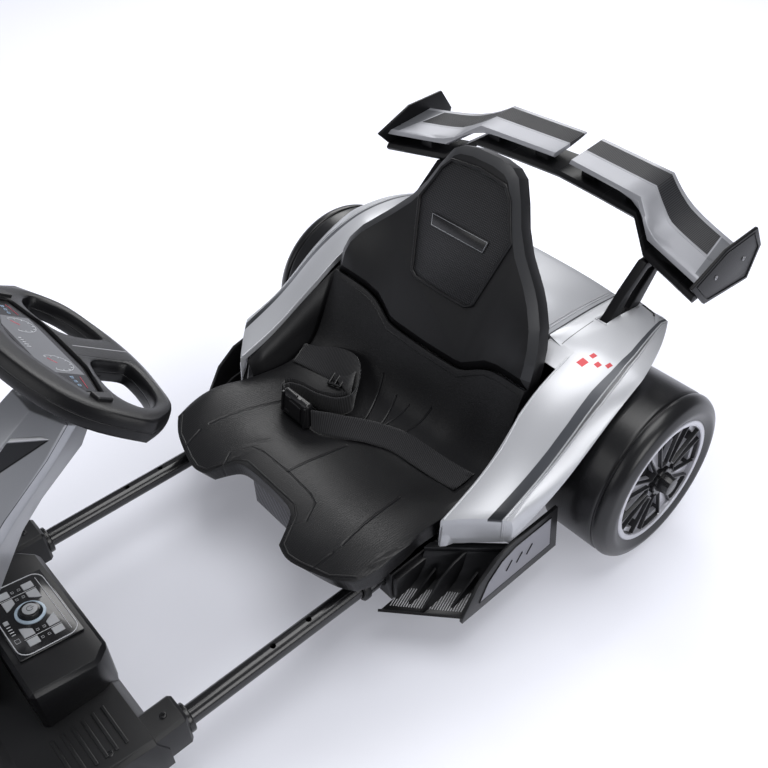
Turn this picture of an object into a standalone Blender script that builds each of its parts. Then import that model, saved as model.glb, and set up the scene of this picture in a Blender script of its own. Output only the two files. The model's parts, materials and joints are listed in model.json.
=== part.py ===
"""Electric drift kart for a child: a moulded bucket seat over a rear tub, two frame tubes,
and a steered front pod that slides on the tubes.

Metres, +Z up, forward is -Y and the driver's left is +X. Lengths along Y are measured from the
rear axle; the empty kart_datum then moves that axle so that the origin is under the middle.
"""

import math

import bmesh
import bpy
from mathutils import Matrix, Vector

# Reach of the whole kart from the rear axle
WHEELBASE = 0.920
FRONT_OVERHANG = 0.150
FRONT_REACH = WHEELBASE + FRONT_OVERHANG
REAR_REACH = 0.240
FRONT_AXLE_Y = -WHEELBASE
REAR_AXLE_Y = (FRONT_REACH - REAR_REACH) / 2

# Gaps between pieces
SEAM = 0.0003
PIN_CLEARANCE = 0.0004
RAIL_CLEARANCE = 0.0006

# Frame tubes
RAIL_X = 0.177
RAIL_Z = 0.083
RAIL_DIAMETER = 0.0254
RAIL_FRONT_Y = FRONT_AXLE_Y + 0.130
RAIL_REAR_Y = -0.230
RAIL_HOLE_DIAMETER = 0.008
RAIL_HOLE_PITCH = 0.055
RAIL_HOLE_FIRST_Y = -0.486
SLEEVE_WALL = 0.003
SLEEVE_FRONT_Y = -0.405

# Rear tub
TUB_HALF_WIDTH = 0.205
TUB_FRONT_Y = -0.372
TUB_REAR_Y = 0.085
TUB_BOTTOM_Z = 0.055
TUB_RIM_Z = 0.108
TUB_WALL = 0.003
BATTERY_NOSE_HALF_WIDTH = 0.060
BATTERY_NOSE_Y = -0.402

# Rear wheels
REAR_TYRE_RADIUS = 0.1315
REAR_TYRE_WIDTH = 0.120
REAR_RIM_RADIUS = 0.098
REAR_WHEEL_X = 0.304
REAR_AXLE_DIAMETER = 0.012
REAR_SPOKES = 8

# Front wheels and steering
FRONT_TYRE_RADIUS = 0.115
FRONT_TYRE_WIDTH = 0.070
FRONT_RIM_RADIUS = 0.076
FRONT_WHEEL_X = 0.293
FRONT_AXLE_DIAMETER = 0.010
FRONT_SPOKES = 6
KINGPIN_X = 0.235
KINGPIN_DIAMETER = 0.008
STEERING_ARM = 0.050
COLUMN_LEAN = math.radians(36)
COLUMN_DIAMETER = 0.016
STEERING_CENTRE = Vector((0.0, FRONT_AXLE_Y + 0.308, 0.487))
CRANK_RADIUS = 0.022
CRANK_PIN_DIAMETER = 0.008

# Seat
SEAT_HALF_WIDTH = 0.213
BACK_HALF_WIDTH = SEAT_HALF_WIDTH - 0.016
SEAT_SKIRT = 0.026
SEAT_WALL = 0.004
BACK_LEAN = math.radians(23)
BACK_FOOT = Vector((0.0, -0.126, 0.224))
BACK_THICKNESS = 0.030
BACK_RIM = 0.012
BACK_RIM_DEPTH = 0.0078

# Bodywork
PANEL = 0.003
FENDER_DECK_X = 0.168
DECK_HALF_WIDTH = FENDER_DECK_X - SEAM

# Rear wing
WING_CHORD_THICKNESS = 0.008
WING_TIP_X = 0.298

# Front pod
POD_REAR_Y = FRONT_AXLE_Y + 0.220
POD_FRONT_Y = -FRONT_REACH + 0.039
POD_FLOOR_Z = 0.118
POD_BOTTOM_Z = 0.055
POD_WALL = 0.004
SOCKET_REAR_Y = FRONT_AXLE_Y + 0.250
SOCKET_HALF = 0.021


# Scene, collections and the datum

for old in list(bpy.data.objects):
    bpy.data.objects.remove(old, do_unlink=True)

kart = bpy.data.collections.new("electric_drift_kart")
bpy.context.scene.collection.children.link(kart)


def empty(name, location, parent=None, rotation=(0.0, 0.0, 0.0)):
    mark = bpy.data.objects.new(name, None)
    mark.empty_display_size = 0.03
    mark.location = location
    mark.rotation_euler = rotation
    mark.parent = parent
    kart.objects.link(mark)
    return mark


datum = empty("kart_datum", (0.0, REAR_AXLE_Y, 0.0))
front_section = empty("front_section", (0.0, FRONT_AXLE_Y, 0.0), datum)


def material(name, colour, roughness, metallic=0.0):
    made = bpy.data.materials.new(name)
    made.use_nodes = True
    shader = made.node_tree.nodes["Principled BSDF"]
    shader.inputs["Base Color"].default_value = (*colour, 1.0)
    shader.inputs["Roughness"].default_value = roughness
    shader.inputs["Metallic"].default_value = metallic
    made.diffuse_color = (*colour, 1.0)
    return made


BLACK_PLASTIC = material("black_plastic", (0.020, 0.020, 0.022), 0.45)
SATIN_PLASTIC = material("satin_plastic", (0.055, 0.057, 0.062), 0.35)
SILVER_PAINT = material("silver_paint", (0.560, 0.570, 0.590), 0.30, 0.6)
BLACK_STEEL = material("black_steel", (0.015, 0.015, 0.016), 0.25, 0.4)
BARE_STEEL = material("bare_steel", (0.500, 0.500, 0.510), 0.35, 1.0)
TYRE_PLASTIC = material("tyre_plastic", (0.018, 0.018, 0.019), 0.50)
WEBBING = material("webbing", (0.022, 0.022, 0.024), 0.80)
CARBON_PRINT = material("carbon_print", (0.035, 0.036, 0.040), 0.30)
DISPLAY_GREY = material("display_grey", (0.250, 0.260, 0.280), 0.30)


# Ways of making a mesh

def evaluated_mesh(obj):
    """The object's mesh with its modifiers applied, in world space, its loose caps welded."""
    bpy.context.view_layer.update()
    graph = bpy.context.evaluated_depsgraph_get()
    mesh = bpy.data.meshes.new_from_object(obj.evaluated_get(graph))
    mesh.transform(obj.matrix_world)
    bm = bmesh.new()
    bm.from_mesh(mesh)
    bmesh.ops.remove_doubles(bm, verts=bm.verts, dist=1e-6)
    bm.to_mesh(mesh)
    bm.free()
    bpy.data.objects.remove(obj, do_unlink=True)
    return mesh


def scratch(mesh):
    obj = bpy.data.objects.new("scratch", mesh)
    bpy.context.scene.collection.objects.link(obj)
    return obj


def combined(base, *steps):
    """The base mesh after each (operation, mesh) step, such as ("DIFFERENCE", hole)."""
    target = scratch(base)
    helpers = []
    for operation, mesh in steps:
        helper = scratch(mesh)
        helpers.append(helper)
        modifier = target.modifiers.new(operation.lower(), "BOOLEAN")
        modifier.operation = operation
        modifier.object = helper
    result = evaluated_mesh(target)
    for helper in helpers:
        bpy.data.objects.remove(helper, do_unlink=True)
    return result


def finished(bm):
    bmesh.ops.recalc_face_normals(bm, faces=bm.faces)
    mesh = bpy.data.meshes.new("shape")
    bm.to_mesh(mesh)
    bm.free()
    return mesh


def block(low, high):
    """A box between two corners."""
    low, high = Vector(low), Vector(high)
    bm = bmesh.new()
    bmesh.ops.create_cube(bm, size=1.0)
    bmesh.ops.scale(bm, vec=high - low, verts=bm.verts)
    bmesh.ops.translate(bm, vec=(low + high) / 2, verts=bm.verts)
    return finished(bm)


def rod(start, end, diameter, sides=14, end_diameter=None):
    """A round bar, or a cone, from start to end."""
    start, end = Vector(start), Vector(end)
    along = end - start
    bm = bmesh.new()
    bmesh.ops.create_cone(
        bm,
        cap_ends=True,
        segments=sides,
        radius1=diameter / 2,
        radius2=(end_diameter or diameter) / 2,
        depth=along.length,
    )
    turn = Vector((0, 0, 1)).rotation_difference(along).to_matrix().to_4x4()
    bmesh.ops.transform(bm, matrix=Matrix.Translation((start + end) / 2) @ turn, verts=bm.verts)
    return finished(bm)


def slab(outline, thickness):
    """A flat outline thickened about the XY plane."""
    bm = bmesh.new()
    face = bm.faces.new([bm.verts.new((x, y, -thickness / 2)) for x, y in outline])
    raised = bmesh.ops.extrude_face_region(bm, geom=[face])
    top = [g for g in raised["geom"] if isinstance(g, bmesh.types.BMVert)]
    bmesh.ops.translate(bm, vec=(0, 0, thickness), verts=top)
    return finished(bm)


def offset_loop(loop, by):
    """A closed outline moved outward by a distance, or inward by a negative one."""
    points = [Vector(point) for point in loop]
    area = sum(a.cross(b) for a, b in zip(points, points[1:] + points[:1]))
    turn = math.copysign(1.0, area)
    result = []
    for before, here, after in zip(points[-1:] + points[:-1], points, points[1:] + points[:1]):
        first = (here - before).normalized()
        second = (after - here).normalized()
        first_out = Vector((first.y, -first.x)) * turn
        second_out = Vector((second.y, -second.x)) * turn
        result.append(tuple(here + (first_out + second_out) * by / (1.0 + first_out.dot(second_out))))
    return result


def mirrored_loop(half):
    """A closed outline from its half on the +X side."""
    return half + [(-x, y) for x, y in reversed(half) if x > 0]


def pierced(outline, thickness, holes, round_edge=0.0):
    """A flat outline with holes through it, its edges rounded, about the XY plane."""
    curve = bpy.data.curves.new("outline", "CURVE")
    curve.dimensions = "2D"
    curve.fill_mode = "BOTH"
    curve.extrude = thickness / 2 - round_edge
    curve.bevel_depth = round_edge
    curve.bevel_resolution = 1
    loops = [offset_loop(outline, -round_edge)] + [offset_loop(hole, round_edge) for hole in holes]
    for loop in loops:
        spline = curve.splines.new("POLY")
        spline.points.add(len(loop) - 1)
        for point, (x, y) in zip(spline.points, loop):
            point.co = (x, y, 0.0, 1.0)
        spline.use_cyclic_u = True
    obj = bpy.data.objects.new("scratch", curve)
    bpy.context.scene.collection.objects.link(obj)
    bm = bmesh.new()
    bm.from_mesh(evaluated_mesh(obj))
    return finished(bm)


def turned(profile, steps):
    """A ring or disc about Z from (radius, height) points, top to bottom down the outer side."""
    bm = bmesh.new()
    points = [bm.verts.new((radius, 0.0, height)) for radius, height in profile]
    for first, second in zip(points, points[1:]):
        bm.edges.new((first, second))
    if profile[0][0] > 1e-6:
        bm.edges.new((points[-1], points[0]))
    mesh = bpy.data.meshes.new("profile")
    bm.to_mesh(mesh)
    bm.free()
    obj = scratch(mesh)
    screw = obj.modifiers.new("turn", "SCREW")
    screw.steps = steps
    screw.render_steps = steps
    screw.use_merge_vertices = True
    screw.merge_threshold = 1e-5
    turned_mesh = evaluated_mesh(obj)
    bm = bmesh.new()
    bm.from_mesh(turned_mesh)
    return finished(bm)


def loft(rings, capped=True, ring_closed=True):
    """A skin through rings of equal count. Open rings give an open surface."""
    bm = bmesh.new()
    rows = [[bm.verts.new(point) for point in ring] for ring in rings]
    count = len(rows[0])
    spans = count if ring_closed else count - 1
    for row, after in zip(rows, rows[1:]):
        for i in range(spans):
            j = (i + 1) % count
            bm.faces.new((row[i], row[j], after[j], after[i]))
    if capped and ring_closed:
        bm.faces.new(rows[0])
        bm.faces.new(rows[-1])
    return finished(bm)


def facing(mesh, direction):
    """The open surface with its faces turned to look along the direction."""
    direction = Vector(direction)
    total = sum((p.normal.dot(direction) * p.area for p in mesh.polygons), 0.0)
    if total < 0:
        mesh.flip_normals()
    return mesh


def shell(surface, thickness):
    """A sheet of the given thickness behind an open surface."""
    obj = scratch(surface)
    solid = obj.modifiers.new("thickness", "SOLIDIFY")
    solid.thickness = thickness
    solid.offset = -1.0
    solid.use_even_offset = True
    solid.thickness_clamp = 1.0
    return evaluated_mesh(obj)


def bevelled(mesh, width, segments=1, angle=40):
    obj = scratch(mesh)
    bevel = obj.modifiers.new("edges", "BEVEL")
    bevel.width = width
    bevel.segments = segments
    bevel.limit_method = "ANGLE"
    bevel.angle_limit = math.radians(angle)
    bevel.harden_normals = False
    return evaluated_mesh(obj)


def moved(mesh, matrix):
    copy = mesh.copy()
    copy.transform(matrix)
    if matrix.determinant() < 0:
        copy.flip_normals()
    return copy


def mirrored(mesh):
    """The same shape on the kart's other side."""
    return moved(mesh, Matrix.Scale(-1, 4, (1, 0, 0)))


def node(name, mesh, surface, parent=datum, pivot=(0.0, 0.0, 0.0), smooth=True):
    """One piece of the kart. The mesh is given in the datum's frame, the pivot on its joint's axis."""
    pivot = Vector(pivot)
    mesh = mesh.copy()
    mesh.transform(Matrix.Translation(-pivot))
    mesh.name = name
    mesh.materials.clear()
    mesh.materials.append(surface)
    if smooth:
        mesh.shade_smooth()
        mesh.set_sharp_from_angle(angle=math.radians(35))
    obj = bpy.data.objects.new(name, mesh)
    kart.objects.link(obj)
    bpy.context.view_layer.update()
    obj.parent = parent
    frame = parent.matrix_world.inverted() @ datum.matrix_world if parent else Matrix()
    obj.matrix_local = frame @ Matrix.Translation(pivot)
    return obj


def both_sides(name, mesh, surface, parent=datum):
    """A piece for the left side, +X, and its mirror image for the right."""
    node(f"{name}_left", mesh, surface, parent)
    node(f"{name}_right", mirrored(mesh), surface, parent)


def smoothstep(value):
    value = max(0.0, min(1.0, value))
    return value * value * (3 - 2 * value)


def along(points, t):
    """The point at parameter t, 0 to 1, by distance along a line of points."""
    points = [Vector(p) for p in points]
    steps = [(b - a).length for a, b in zip(points, points[1:])]
    left = t * sum(steps)
    for a, b, step in zip(points, points[1:], steps):
        if left <= step:
            return a.lerp(b, left / step)
        left -= step
    return points[-1]


def table_value(table, x):
    """Linear reading of (x, value) rows."""
    if x <= table[0][0]:
        return table[0][1]
    for (x0, v0), (x1, v1) in zip(table, table[1:]):
        if x <= x1:
            return v0 + (v1 - v0) * (x - x0) / (x1 - x0)
    return table[-1][1]


BACK_RISE = Vector((0.0, math.sin(BACK_LEAN), math.cos(BACK_LEAN)))
BACK_FRAME = Matrix.Translation(BACK_FOOT) @ Matrix.Rotation(math.radians(90) - BACK_LEAN, 4, "X")


# Rear tub, which carries the axle, the battery, the sleeves and the bodywork

tub_outline = [
    (-TUB_HALF_WIDTH, TUB_REAR_Y),
    (-TUB_HALF_WIDTH, TUB_FRONT_Y),
    (-BATTERY_NOSE_HALF_WIDTH, TUB_FRONT_Y),
    (-BATTERY_NOSE_HALF_WIDTH, BATTERY_NOSE_Y),
    (BATTERY_NOSE_HALF_WIDTH, BATTERY_NOSE_Y),
    (BATTERY_NOSE_HALF_WIDTH, TUB_FRONT_Y),
    (TUB_HALF_WIDTH, TUB_FRONT_Y),
    (TUB_HALF_WIDTH, TUB_REAR_Y),
]


tub_height = TUB_RIM_Z - TUB_BOTTOM_Z
tub_solid = moved(slab(tub_outline, tub_height), Matrix.Translation((0, 0, TUB_BOTTOM_Z + tub_height / 2)))
tub_inside = moved(
    slab(offset_loop(tub_outline, -TUB_WALL), tub_height),
    Matrix.Translation((0, 0, TUB_BOTTOM_Z + tub_height / 2 + TUB_WALL)),
)
sleeve_outer = RAIL_DIAMETER + 2 * (RAIL_CLEARANCE + SLEEVE_WALL)
tub_steps = [("DIFFERENCE", tub_inside)]
for side in (-1, 1):
    tub_steps.append((
        "DIFFERENCE",
        rod(
            (side * RAIL_X, TUB_FRONT_Y - 0.01, RAIL_Z),
            (side * RAIL_X, TUB_FRONT_Y + 0.01, RAIL_Z),
            sleeve_outer + 2 * SEAM,
        ),
    ))
node("rear_tub", combined(tub_solid, *tub_steps), BLACK_PLASTIC, smooth=False)

# Battery, one plain block on the tub's floor

BATTERY = Vector((0.150, 0.090, 0.045))
battery_low = Vector((-BATTERY.x / 2, -0.130, TUB_BOTTOM_Z + TUB_WALL + SEAM))
node("battery", block(battery_low, battery_low + BATTERY), BLACK_PLASTIC)


# Frame tubes and the sleeves that hold them in the tub

for name, side in (("left", 1), ("right", -1)):
    tube_end = Vector((side * RAIL_X, RAIL_REAR_Y, RAIL_Z))
    tube_front = Vector((side * RAIL_X, RAIL_FRONT_Y, RAIL_Z))
    tube_inner = RAIL_DIAMETER - 2 * 0.0015
    beyond = Vector((0, 0.01, 0))
    steps = [("DIFFERENCE", rod(tube_front - beyond, tube_end + beyond, tube_inner))]
    for hole in range(2):
        hole_y = RAIL_HOLE_FIRST_Y - hole * RAIL_HOLE_PITCH
        steps.append((
            "DIFFERENCE",
            rod((side * RAIL_X, hole_y, RAIL_Z), (side * RAIL_X, hole_y, RAIL_Z + 0.02), RAIL_HOLE_DIAMETER, 10),
        ))
    node(f"rail_{name}", combined(rod(tube_front, tube_end, RAIL_DIAMETER, 18), *steps), BLACK_STEEL)
    sleeve_bore = RAIL_DIAMETER + 2 * RAIL_CLEARANCE
    sleeve_front = Vector((side * RAIL_X, SLEEVE_FRONT_Y, RAIL_Z))
    sleeve_rear = Vector((side * RAIL_X, RAIL_REAR_Y, RAIL_Z))
    foot_low = (side * RAIL_X - 0.010, SLEEVE_FRONT_Y + 0.06, TUB_BOTTOM_Z + TUB_WALL + SEAM)
    foot_high = (side * RAIL_X + 0.010, RAIL_REAR_Y, RAIL_Z)
    sleeve = combined(
        rod(sleeve_front, sleeve_rear, sleeve_outer),
        ("UNION", block(foot_low, foot_high)),
        ("DIFFERENCE", rod(sleeve_front - beyond, sleeve_rear + beyond, sleeve_bore, 18)),
    )
    node(f"rail_sleeve_{name}", sleeve, BLACK_STEEL)


# Seat: one moulded bucket, cushion and lower back, with a skirt all round

# Middle line from the front lip to the seam under the backrest: (y, z)
SEAT_PROFILE = [
    (-0.472, 0.128),
    (-0.4575, 0.138),
    (-0.438, 0.145),
    (-0.413, 0.149),
    (-0.375, 0.150),
    (-0.330, 0.141),
    (-0.280, 0.128),
    (-0.235, 0.119),
    (-0.200, 0.121),
    (-0.172, 0.134),
    (-0.154, 0.160),
    (-0.1404, 0.190),
    (-0.1244, 0.2277),
]
# Front edge in plan: two lobes with a cut-out between them, (|x|, y)
SEAT_FRONT = [
    (0.000, -0.414),
    (0.052, -0.414),
    (0.066, -0.421),
    (0.086, -0.460),
    (0.105, -0.466),
    (0.125, -0.463),
    (0.175, -0.450),
    (0.205, -0.428),
    (SEAT_HALF_WIDTH, -0.400),
]
# Half-width of the seat along the cushion, (y, half-width)
SEAT_WIDTH = [
    (-0.420, SEAT_HALF_WIDTH),
    (-0.345, SEAT_HALF_WIDTH - 0.002),
    (-0.322, SEAT_HALF_WIDTH - 0.010),
    (-0.150, BACK_HALF_WIDTH),
]
# Height of the side bolsters, (distance from the front edge, height)
SEAT_BOLSTER = [(0.000, 0.000), (0.040, 0.008), (0.110, 0.012), (0.200, 0.020), (0.290, 0.016)]
# Height of the stepped seam up the backrest, (|x|, up)
BACK_SEAM = [
    (0.000, 0.004),
    (0.076, 0.006),
    (0.098, 0.020),
    (0.119, 0.033),
    (0.140, 0.038),
    (0.170, 0.0425),
    (BACK_HALF_WIDTH, 0.0430),
]
# How far the backrest's sides wrap forward, (up, depth at the outer edge)
BACK_WRAP = [(0.000, 0.014), (0.040, 0.016), (0.080, 0.020), (0.105, 0.018), (0.165, 0.000)]
SEAT_COLUMNS = [0.0, 0.052, 0.067, 0.086, 0.105, 0.126, 0.150, 0.178, 0.202, SEAT_HALF_WIDTH]
SEAT_ROWS = 14

seat_line = [Vector((0.0, y, z)) for y, z in SEAT_PROFILE]
seat_steps = [(b - a).length for a, b in zip(seat_line, seat_line[1:])]
SEAT_LENGTH = sum(seat_steps)
SEAT_TOP_SHARE = SEAT_WIDTH[-1][1] / SEAT_HALF_WIDTH


def seat_middle(distance):
    """Point and normal of the middle line at a distance from its front end."""
    here = along(seat_line, distance / SEAT_LENGTH)
    ahead = along(seat_line, min(1.0, (distance + 0.012) / SEAT_LENGTH))
    behind = along(seat_line, max(0.0, (distance - 0.012) / SEAT_LENGTH))
    run = (ahead - behind).normalized()
    return here, Vector((0.0, -run.z, run.y))


def distance_at(y):
    """Distance along the middle line where it reaches y."""
    done = 0.0
    for a, b, step in zip(seat_line, seat_line[1:], seat_steps):
        if y <= b.y:
            return done + step * max(0.0, (y - a.y) / (b.y - a.y))
        done += step
    return SEAT_LENGTH


def side_share(share):
    """How much of the bolster's height a point has, by its share of the half-width."""
    return smoothstep((abs(share) - 0.50) / 0.46)


def wrap(x, up):
    """How far the backrest stands forward of its flat middle."""
    return side_share(x / BACK_HALF_WIDTH) * table_value(BACK_WRAP, up)


def seat_point(column, row):
    """Surface point and normal at a column's nominal x and a row from front, 0, to seam, 1."""
    start = distance_at(table_value(SEAT_FRONT, abs(column)))
    seam_up = table_value(BACK_SEAM, abs(column) * SEAT_TOP_SHARE)
    end = SEAT_LENGTH + seam_up - BACK_SEAM[0][1]
    reach = start + (end - start) * row
    middle, normal = seat_middle(min(reach, SEAT_LENGTH))
    if reach > SEAT_LENGTH:
        middle = middle + BACK_RISE * (reach - SEAT_LENGTH)
    width = table_value(SEAT_WIDTH, middle.y) / SEAT_HALF_WIDTH
    joined = smoothstep((reach - end + 0.08) / 0.08)
    bolster = side_share(column / SEAT_HALF_WIDTH) * table_value(SEAT_BOLSTER, reach - start)
    raised = bolster * (1.0 - joined) + wrap(column * SEAT_TOP_SHARE, seam_up) * joined
    return middle + Vector((column * width, 0, 0)) + normal * raised, normal


def cushion_height(x, y):
    """Height of the seat's upper face under a point in plan."""
    best = None
    for step in range(61):
        row = step / 60
        start = distance_at(table_value(SEAT_FRONT, abs(x)))
        reach = start + (SEAT_LENGTH - start) * row
        middle, normal = seat_middle(reach)
        width = table_value(SEAT_WIDTH, middle.y) / SEAT_HALF_WIDTH
        point, _ = seat_point(x / width, row)
        gap = abs(point.y - y)
        if best is None or gap < best[0]:
            best = (gap, point.z)
    return best[1]


def seat_surface():
    """The upper face of the seat, with its skirt turned down along every edge."""
    columns = [-x for x in reversed(SEAT_COLUMNS[1:])] + SEAT_COLUMNS
    grid = []
    for i in range(SEAT_ROWS + 1):
        grid.append([seat_point(x, i / SEAT_ROWS) for x in columns])
    front_skirt = [point - normal * SEAT_SKIRT for point, normal in grid[0]]
    rings = []
    for row in grid:
        (first, first_normal), (last, last_normal) = row[0], row[-1]
        ring = [first - first_normal * SEAT_SKIRT]
        ring += [point for point, _ in row]
        ring.append(last - last_normal * SEAT_SKIRT)
        rings.append(ring)
    corner_front = [rings[0][0] + Vector((0, -0.002, -0.002))]
    corner_front += front_skirt
    corner_front.append(rings[0][-1] + Vector((0, -0.002, -0.002)))
    return loft([corner_front, *rings], capped=False, ring_closed=False)


seat_mesh = shell(facing(seat_surface(), (0, -0.3, 1)), SEAT_WALL)
seat_bosses = []
for x in (-0.120, 0.120):
    for y in (-0.345, -0.225):
        reach_up = cushion_height(x, y) - SEAT_WALL / 2
        seat_bosses.append(("UNION", rod((x, y, TUB_BOTTOM_Z + TUB_WALL + SEAM), (x, y, reach_up), 0.018, 12)))
node("seat_shell", combined(seat_mesh, *seat_bosses), BLACK_PLASTIC)


# Backrest: a stepped lower edge, square shoulders and a tall headrest

# Outline from the seam's outer end up to the middle of the top: (|x|, up)
BACK_OUTLINE = [
    (BACK_HALF_WIDTH, 0.056),
    (BACK_HALF_WIDTH - 0.001, 0.078),
    (0.191, 0.100),
    (0.178, 0.125),
    (0.157, 0.150),
    (0.129, 0.180),
    (0.110, 0.200),
    (0.090, 0.230),
    (0.076, 0.260),
    (0.060, 0.288),
    (0.045, 0.2975),
    (0.020, 0.302),
]
HEADREST_PANEL = [
    (0.050, 0.096),
    (0.061, 0.103),
    (0.088, 0.207),
    (0.075, 0.233),
    (0.064, 0.258),
    (0.050, 0.274),
    (0.000, 0.279),
]
BADGE_HALF = Vector((0.055, 0.009))
BADGE_UP = 0.186
# Lines across the backrest where its sides bend forward: |x| and up
BACK_BENDS_X = [0.100, 0.130, 0.165]
BACK_BENDS_UP = [0.080, 0.120, 0.165]

seam_half = [(column * SEAT_TOP_SHARE, SEAM) for column in SEAT_COLUMNS]
back_half = [(x, table_value(BACK_SEAM, x) + gap) for x, gap in seam_half] + BACK_OUTLINE
back_loop = mirrored_loop(back_half)


def backrest_mesh():
    """The outline at its full size behind, drawn in by the rim's slope in front."""
    bm = bmesh.new()
    face = bm.faces.new([bm.verts.new((x, up, -BACK_THICKNESS)) for x, up in back_loop])
    raised = bmesh.ops.extrude_face_region(bm, geom=[face])
    fresh = [g for g in raised["geom"] if isinstance(g, bmesh.types.BMVert)]
    bmesh.ops.translate(bm, vec=(0, 0, BACK_THICKNESS - BACK_RIM_DEPTH), verts=fresh)
    front = next(g for g in raised["geom"] if isinstance(g, bmesh.types.BMFace))
    bmesh.ops.inset_region(bm, faces=[front], thickness=BACK_RIM, depth=0.0, use_even_offset=True)
    for vert in front.verts:
        vert.co.z = 0.0
    bends = [((side * x, 0, 0), (1, 0, 0)) for x in BACK_BENDS_X for side in (-1, 1)]
    bends += [((0, up, 0), (0, 1, 0)) for up in BACK_BENDS_UP]
    for place, direction in bends:
        whole = bm.verts[:] + bm.edges[:] + bm.faces[:]
        bmesh.ops.bisect_plane(bm, geom=whole, plane_co=place, plane_no=direction)
    for vert in bm.verts:
        vert.co.z += wrap(vert.co.x, vert.co.y)
    bmesh.ops.triangulate(bm, faces=bm.faces)
    return moved(finished(bm), BACK_FRAME)


panel_outline = mirrored_loop(HEADREST_PANEL)
panel_pocket = moved(slab(panel_outline, 0.004), BACK_FRAME)
node("backrest", combined(backrest_mesh(), ("DIFFERENCE", panel_pocket)), SATIN_PLASTIC)

panel_loop = offset_loop(panel_outline, -2 * SEAM)
panel_plate = moved(slab(panel_loop, 0.0025), BACK_FRAME @ Matrix.Translation((0, 0, -0.002 + SEAM + 0.00125)))
node("headrest_panel", panel_plate, CARBON_PRINT)
badge_loop = [
    (-BADGE_HALF.x, BADGE_UP + BADGE_HALF.y),
    (-BADGE_HALF.x + 0.004, BADGE_UP - BADGE_HALF.y),
    (BADGE_HALF.x - 0.004, BADGE_UP - BADGE_HALF.y),
    (BADGE_HALF.x, BADGE_UP + BADGE_HALF.y),
]
badge = moved(slab(badge_loop, 0.002), BACK_FRAME @ Matrix.Translation((0, 0, 0.0005 + 2 * SEAM + 0.001)))
node("headrest_plate", badge, BLACK_PLASTIC)


# Side bodies: a crowned silver shell each side, from a slanted front face up to the deck

# Columns: inner edge y, x, z; outer edge y, x, z; lower edge x, z
FENDER_STATIONS = [
    (-0.304, 0.2220, 0.130, -0.2440, 0.2855, 0.141, 0.2870, 0.137),
    (-0.301, 0.2220, 0.173, -0.2410, 0.2880, 0.181, 0.2920, 0.1485),
    (-0.235, 0.2200, 0.196, -0.1900, 0.2830, 0.203, 0.2990, 0.178),
    (-0.190, 0.2180, 0.224, -0.1500, 0.2805, 0.225, 0.3010, 0.203),
    (-0.150, 0.2110, 0.255, -0.1100, 0.2800, 0.254, 0.3020, 0.233),
    (-0.110, 0.2095, 0.281, -0.0580, 0.2740, 0.282, 0.3010, 0.266),
    (-0.052, 0.2095, 0.300, -0.0150, 0.2680, 0.294, 0.2985, 0.281),
    (-0.044, FENDER_DECK_X, 0.306, -0.0050, 0.2670, 0.297, 0.2980, 0.285),
    (0.050, FENDER_DECK_X, 0.304, 0.0600, 0.2500, 0.304, 0.2800, 0.296),
    (0.116, FENDER_DECK_X, 0.296, 0.1160, 0.2250, 0.295, 0.2500, 0.289),
]
FENDER_CROWN = 0.006


def fender_surface():
    rings = []
    for y_in, x_in, z_in, y_out, x_out, z_out, x_low, z_low in FENDER_STATIONS:
        inner = Vector((x_in, y_in, z_in))
        outer = Vector((x_out, y_out, z_out))
        flat = z_in < 0.140
        ring = [inner - Vector((0, 0, 0.003 if flat else 0.010))]
        for share in (0.0, 0.3, 0.7, 1.0):
            crown = 0.0 if flat else FENDER_CROWN * math.sin(math.pi * share)
            ring.append(inner.lerp(outer, share) + Vector((0, 0, crown)))
        low = Vector((x_low, y_out + 0.004, z_low))
        ring.append(outer.lerp(low, 0.5) + Vector((0.003, 0, 0)))
        ring.append(low)
        ring.append(low + Vector((-0.010, 0.004, -0.003)))
        rings.append(ring)
    return loft(rings, capped=False, ring_closed=False)


# Side outline of a wing stay, (y, z), its slot, and the recess that it goes down into
STAY_OUTLINE = [
    (0.030, 0.284),
    (0.104, 0.284),
    (0.108, 0.302),
    (0.160, 0.3730),
    (0.105, 0.3730),
    (0.066, 0.340),
    (0.030, 0.302),
]
STAY_SLOT = [(0.060, 0.304), (0.084, 0.304), (0.104, 0.330), (0.136, 0.361), (0.112, 0.361), (0.082, 0.336)]
STAY_X = 0.200
STAY_THICKNESS = 0.014
stay_reach = (STAY_OUTLINE[0][0], STAY_OUTLINE[2][0])
stay_recess = block(
    (STAY_X - STAY_THICKNESS / 2 - 0.0005, stay_reach[0] - 0.0005, 0.270),
    (STAY_X + STAY_THICKNESS / 2 + 0.0005, stay_reach[1] + 0.0040, 0.330),
)
fender = combined(shell(facing(fender_surface(), (0.2, 0, 1)), PANEL), ("DIFFERENCE", stay_recess))
both_sides("fender", fender, SILVER_PAINT)


# Inner side panels between the tub and the fenders' inner edges

# Top edge, (y, x, z), a seam inside the fender's lip
SIDE_PANEL_TOP = [
    (-0.290, 0.2190, 0.164),
    (-0.235, 0.2170, 0.189),
    (-0.190, 0.2150, 0.217),
    (-0.150, 0.2080, 0.246),
    (-0.110, 0.2062, 0.266),
    (-0.040, 0.2062, 0.279),
    (0.080, 0.2062, 0.283),
]

def side_panel_surface():
    rows = []
    for y, x, z in SIDE_PANEL_TOP:
        rows.append([(TUB_HALF_WIDTH - 0.0002, y, TUB_RIM_Z + SEAM), (TUB_HALF_WIDTH + 0.001, y, 0.130), (x, y, z)])
    return loft(rows, capped=False, ring_closed=False)


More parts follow.
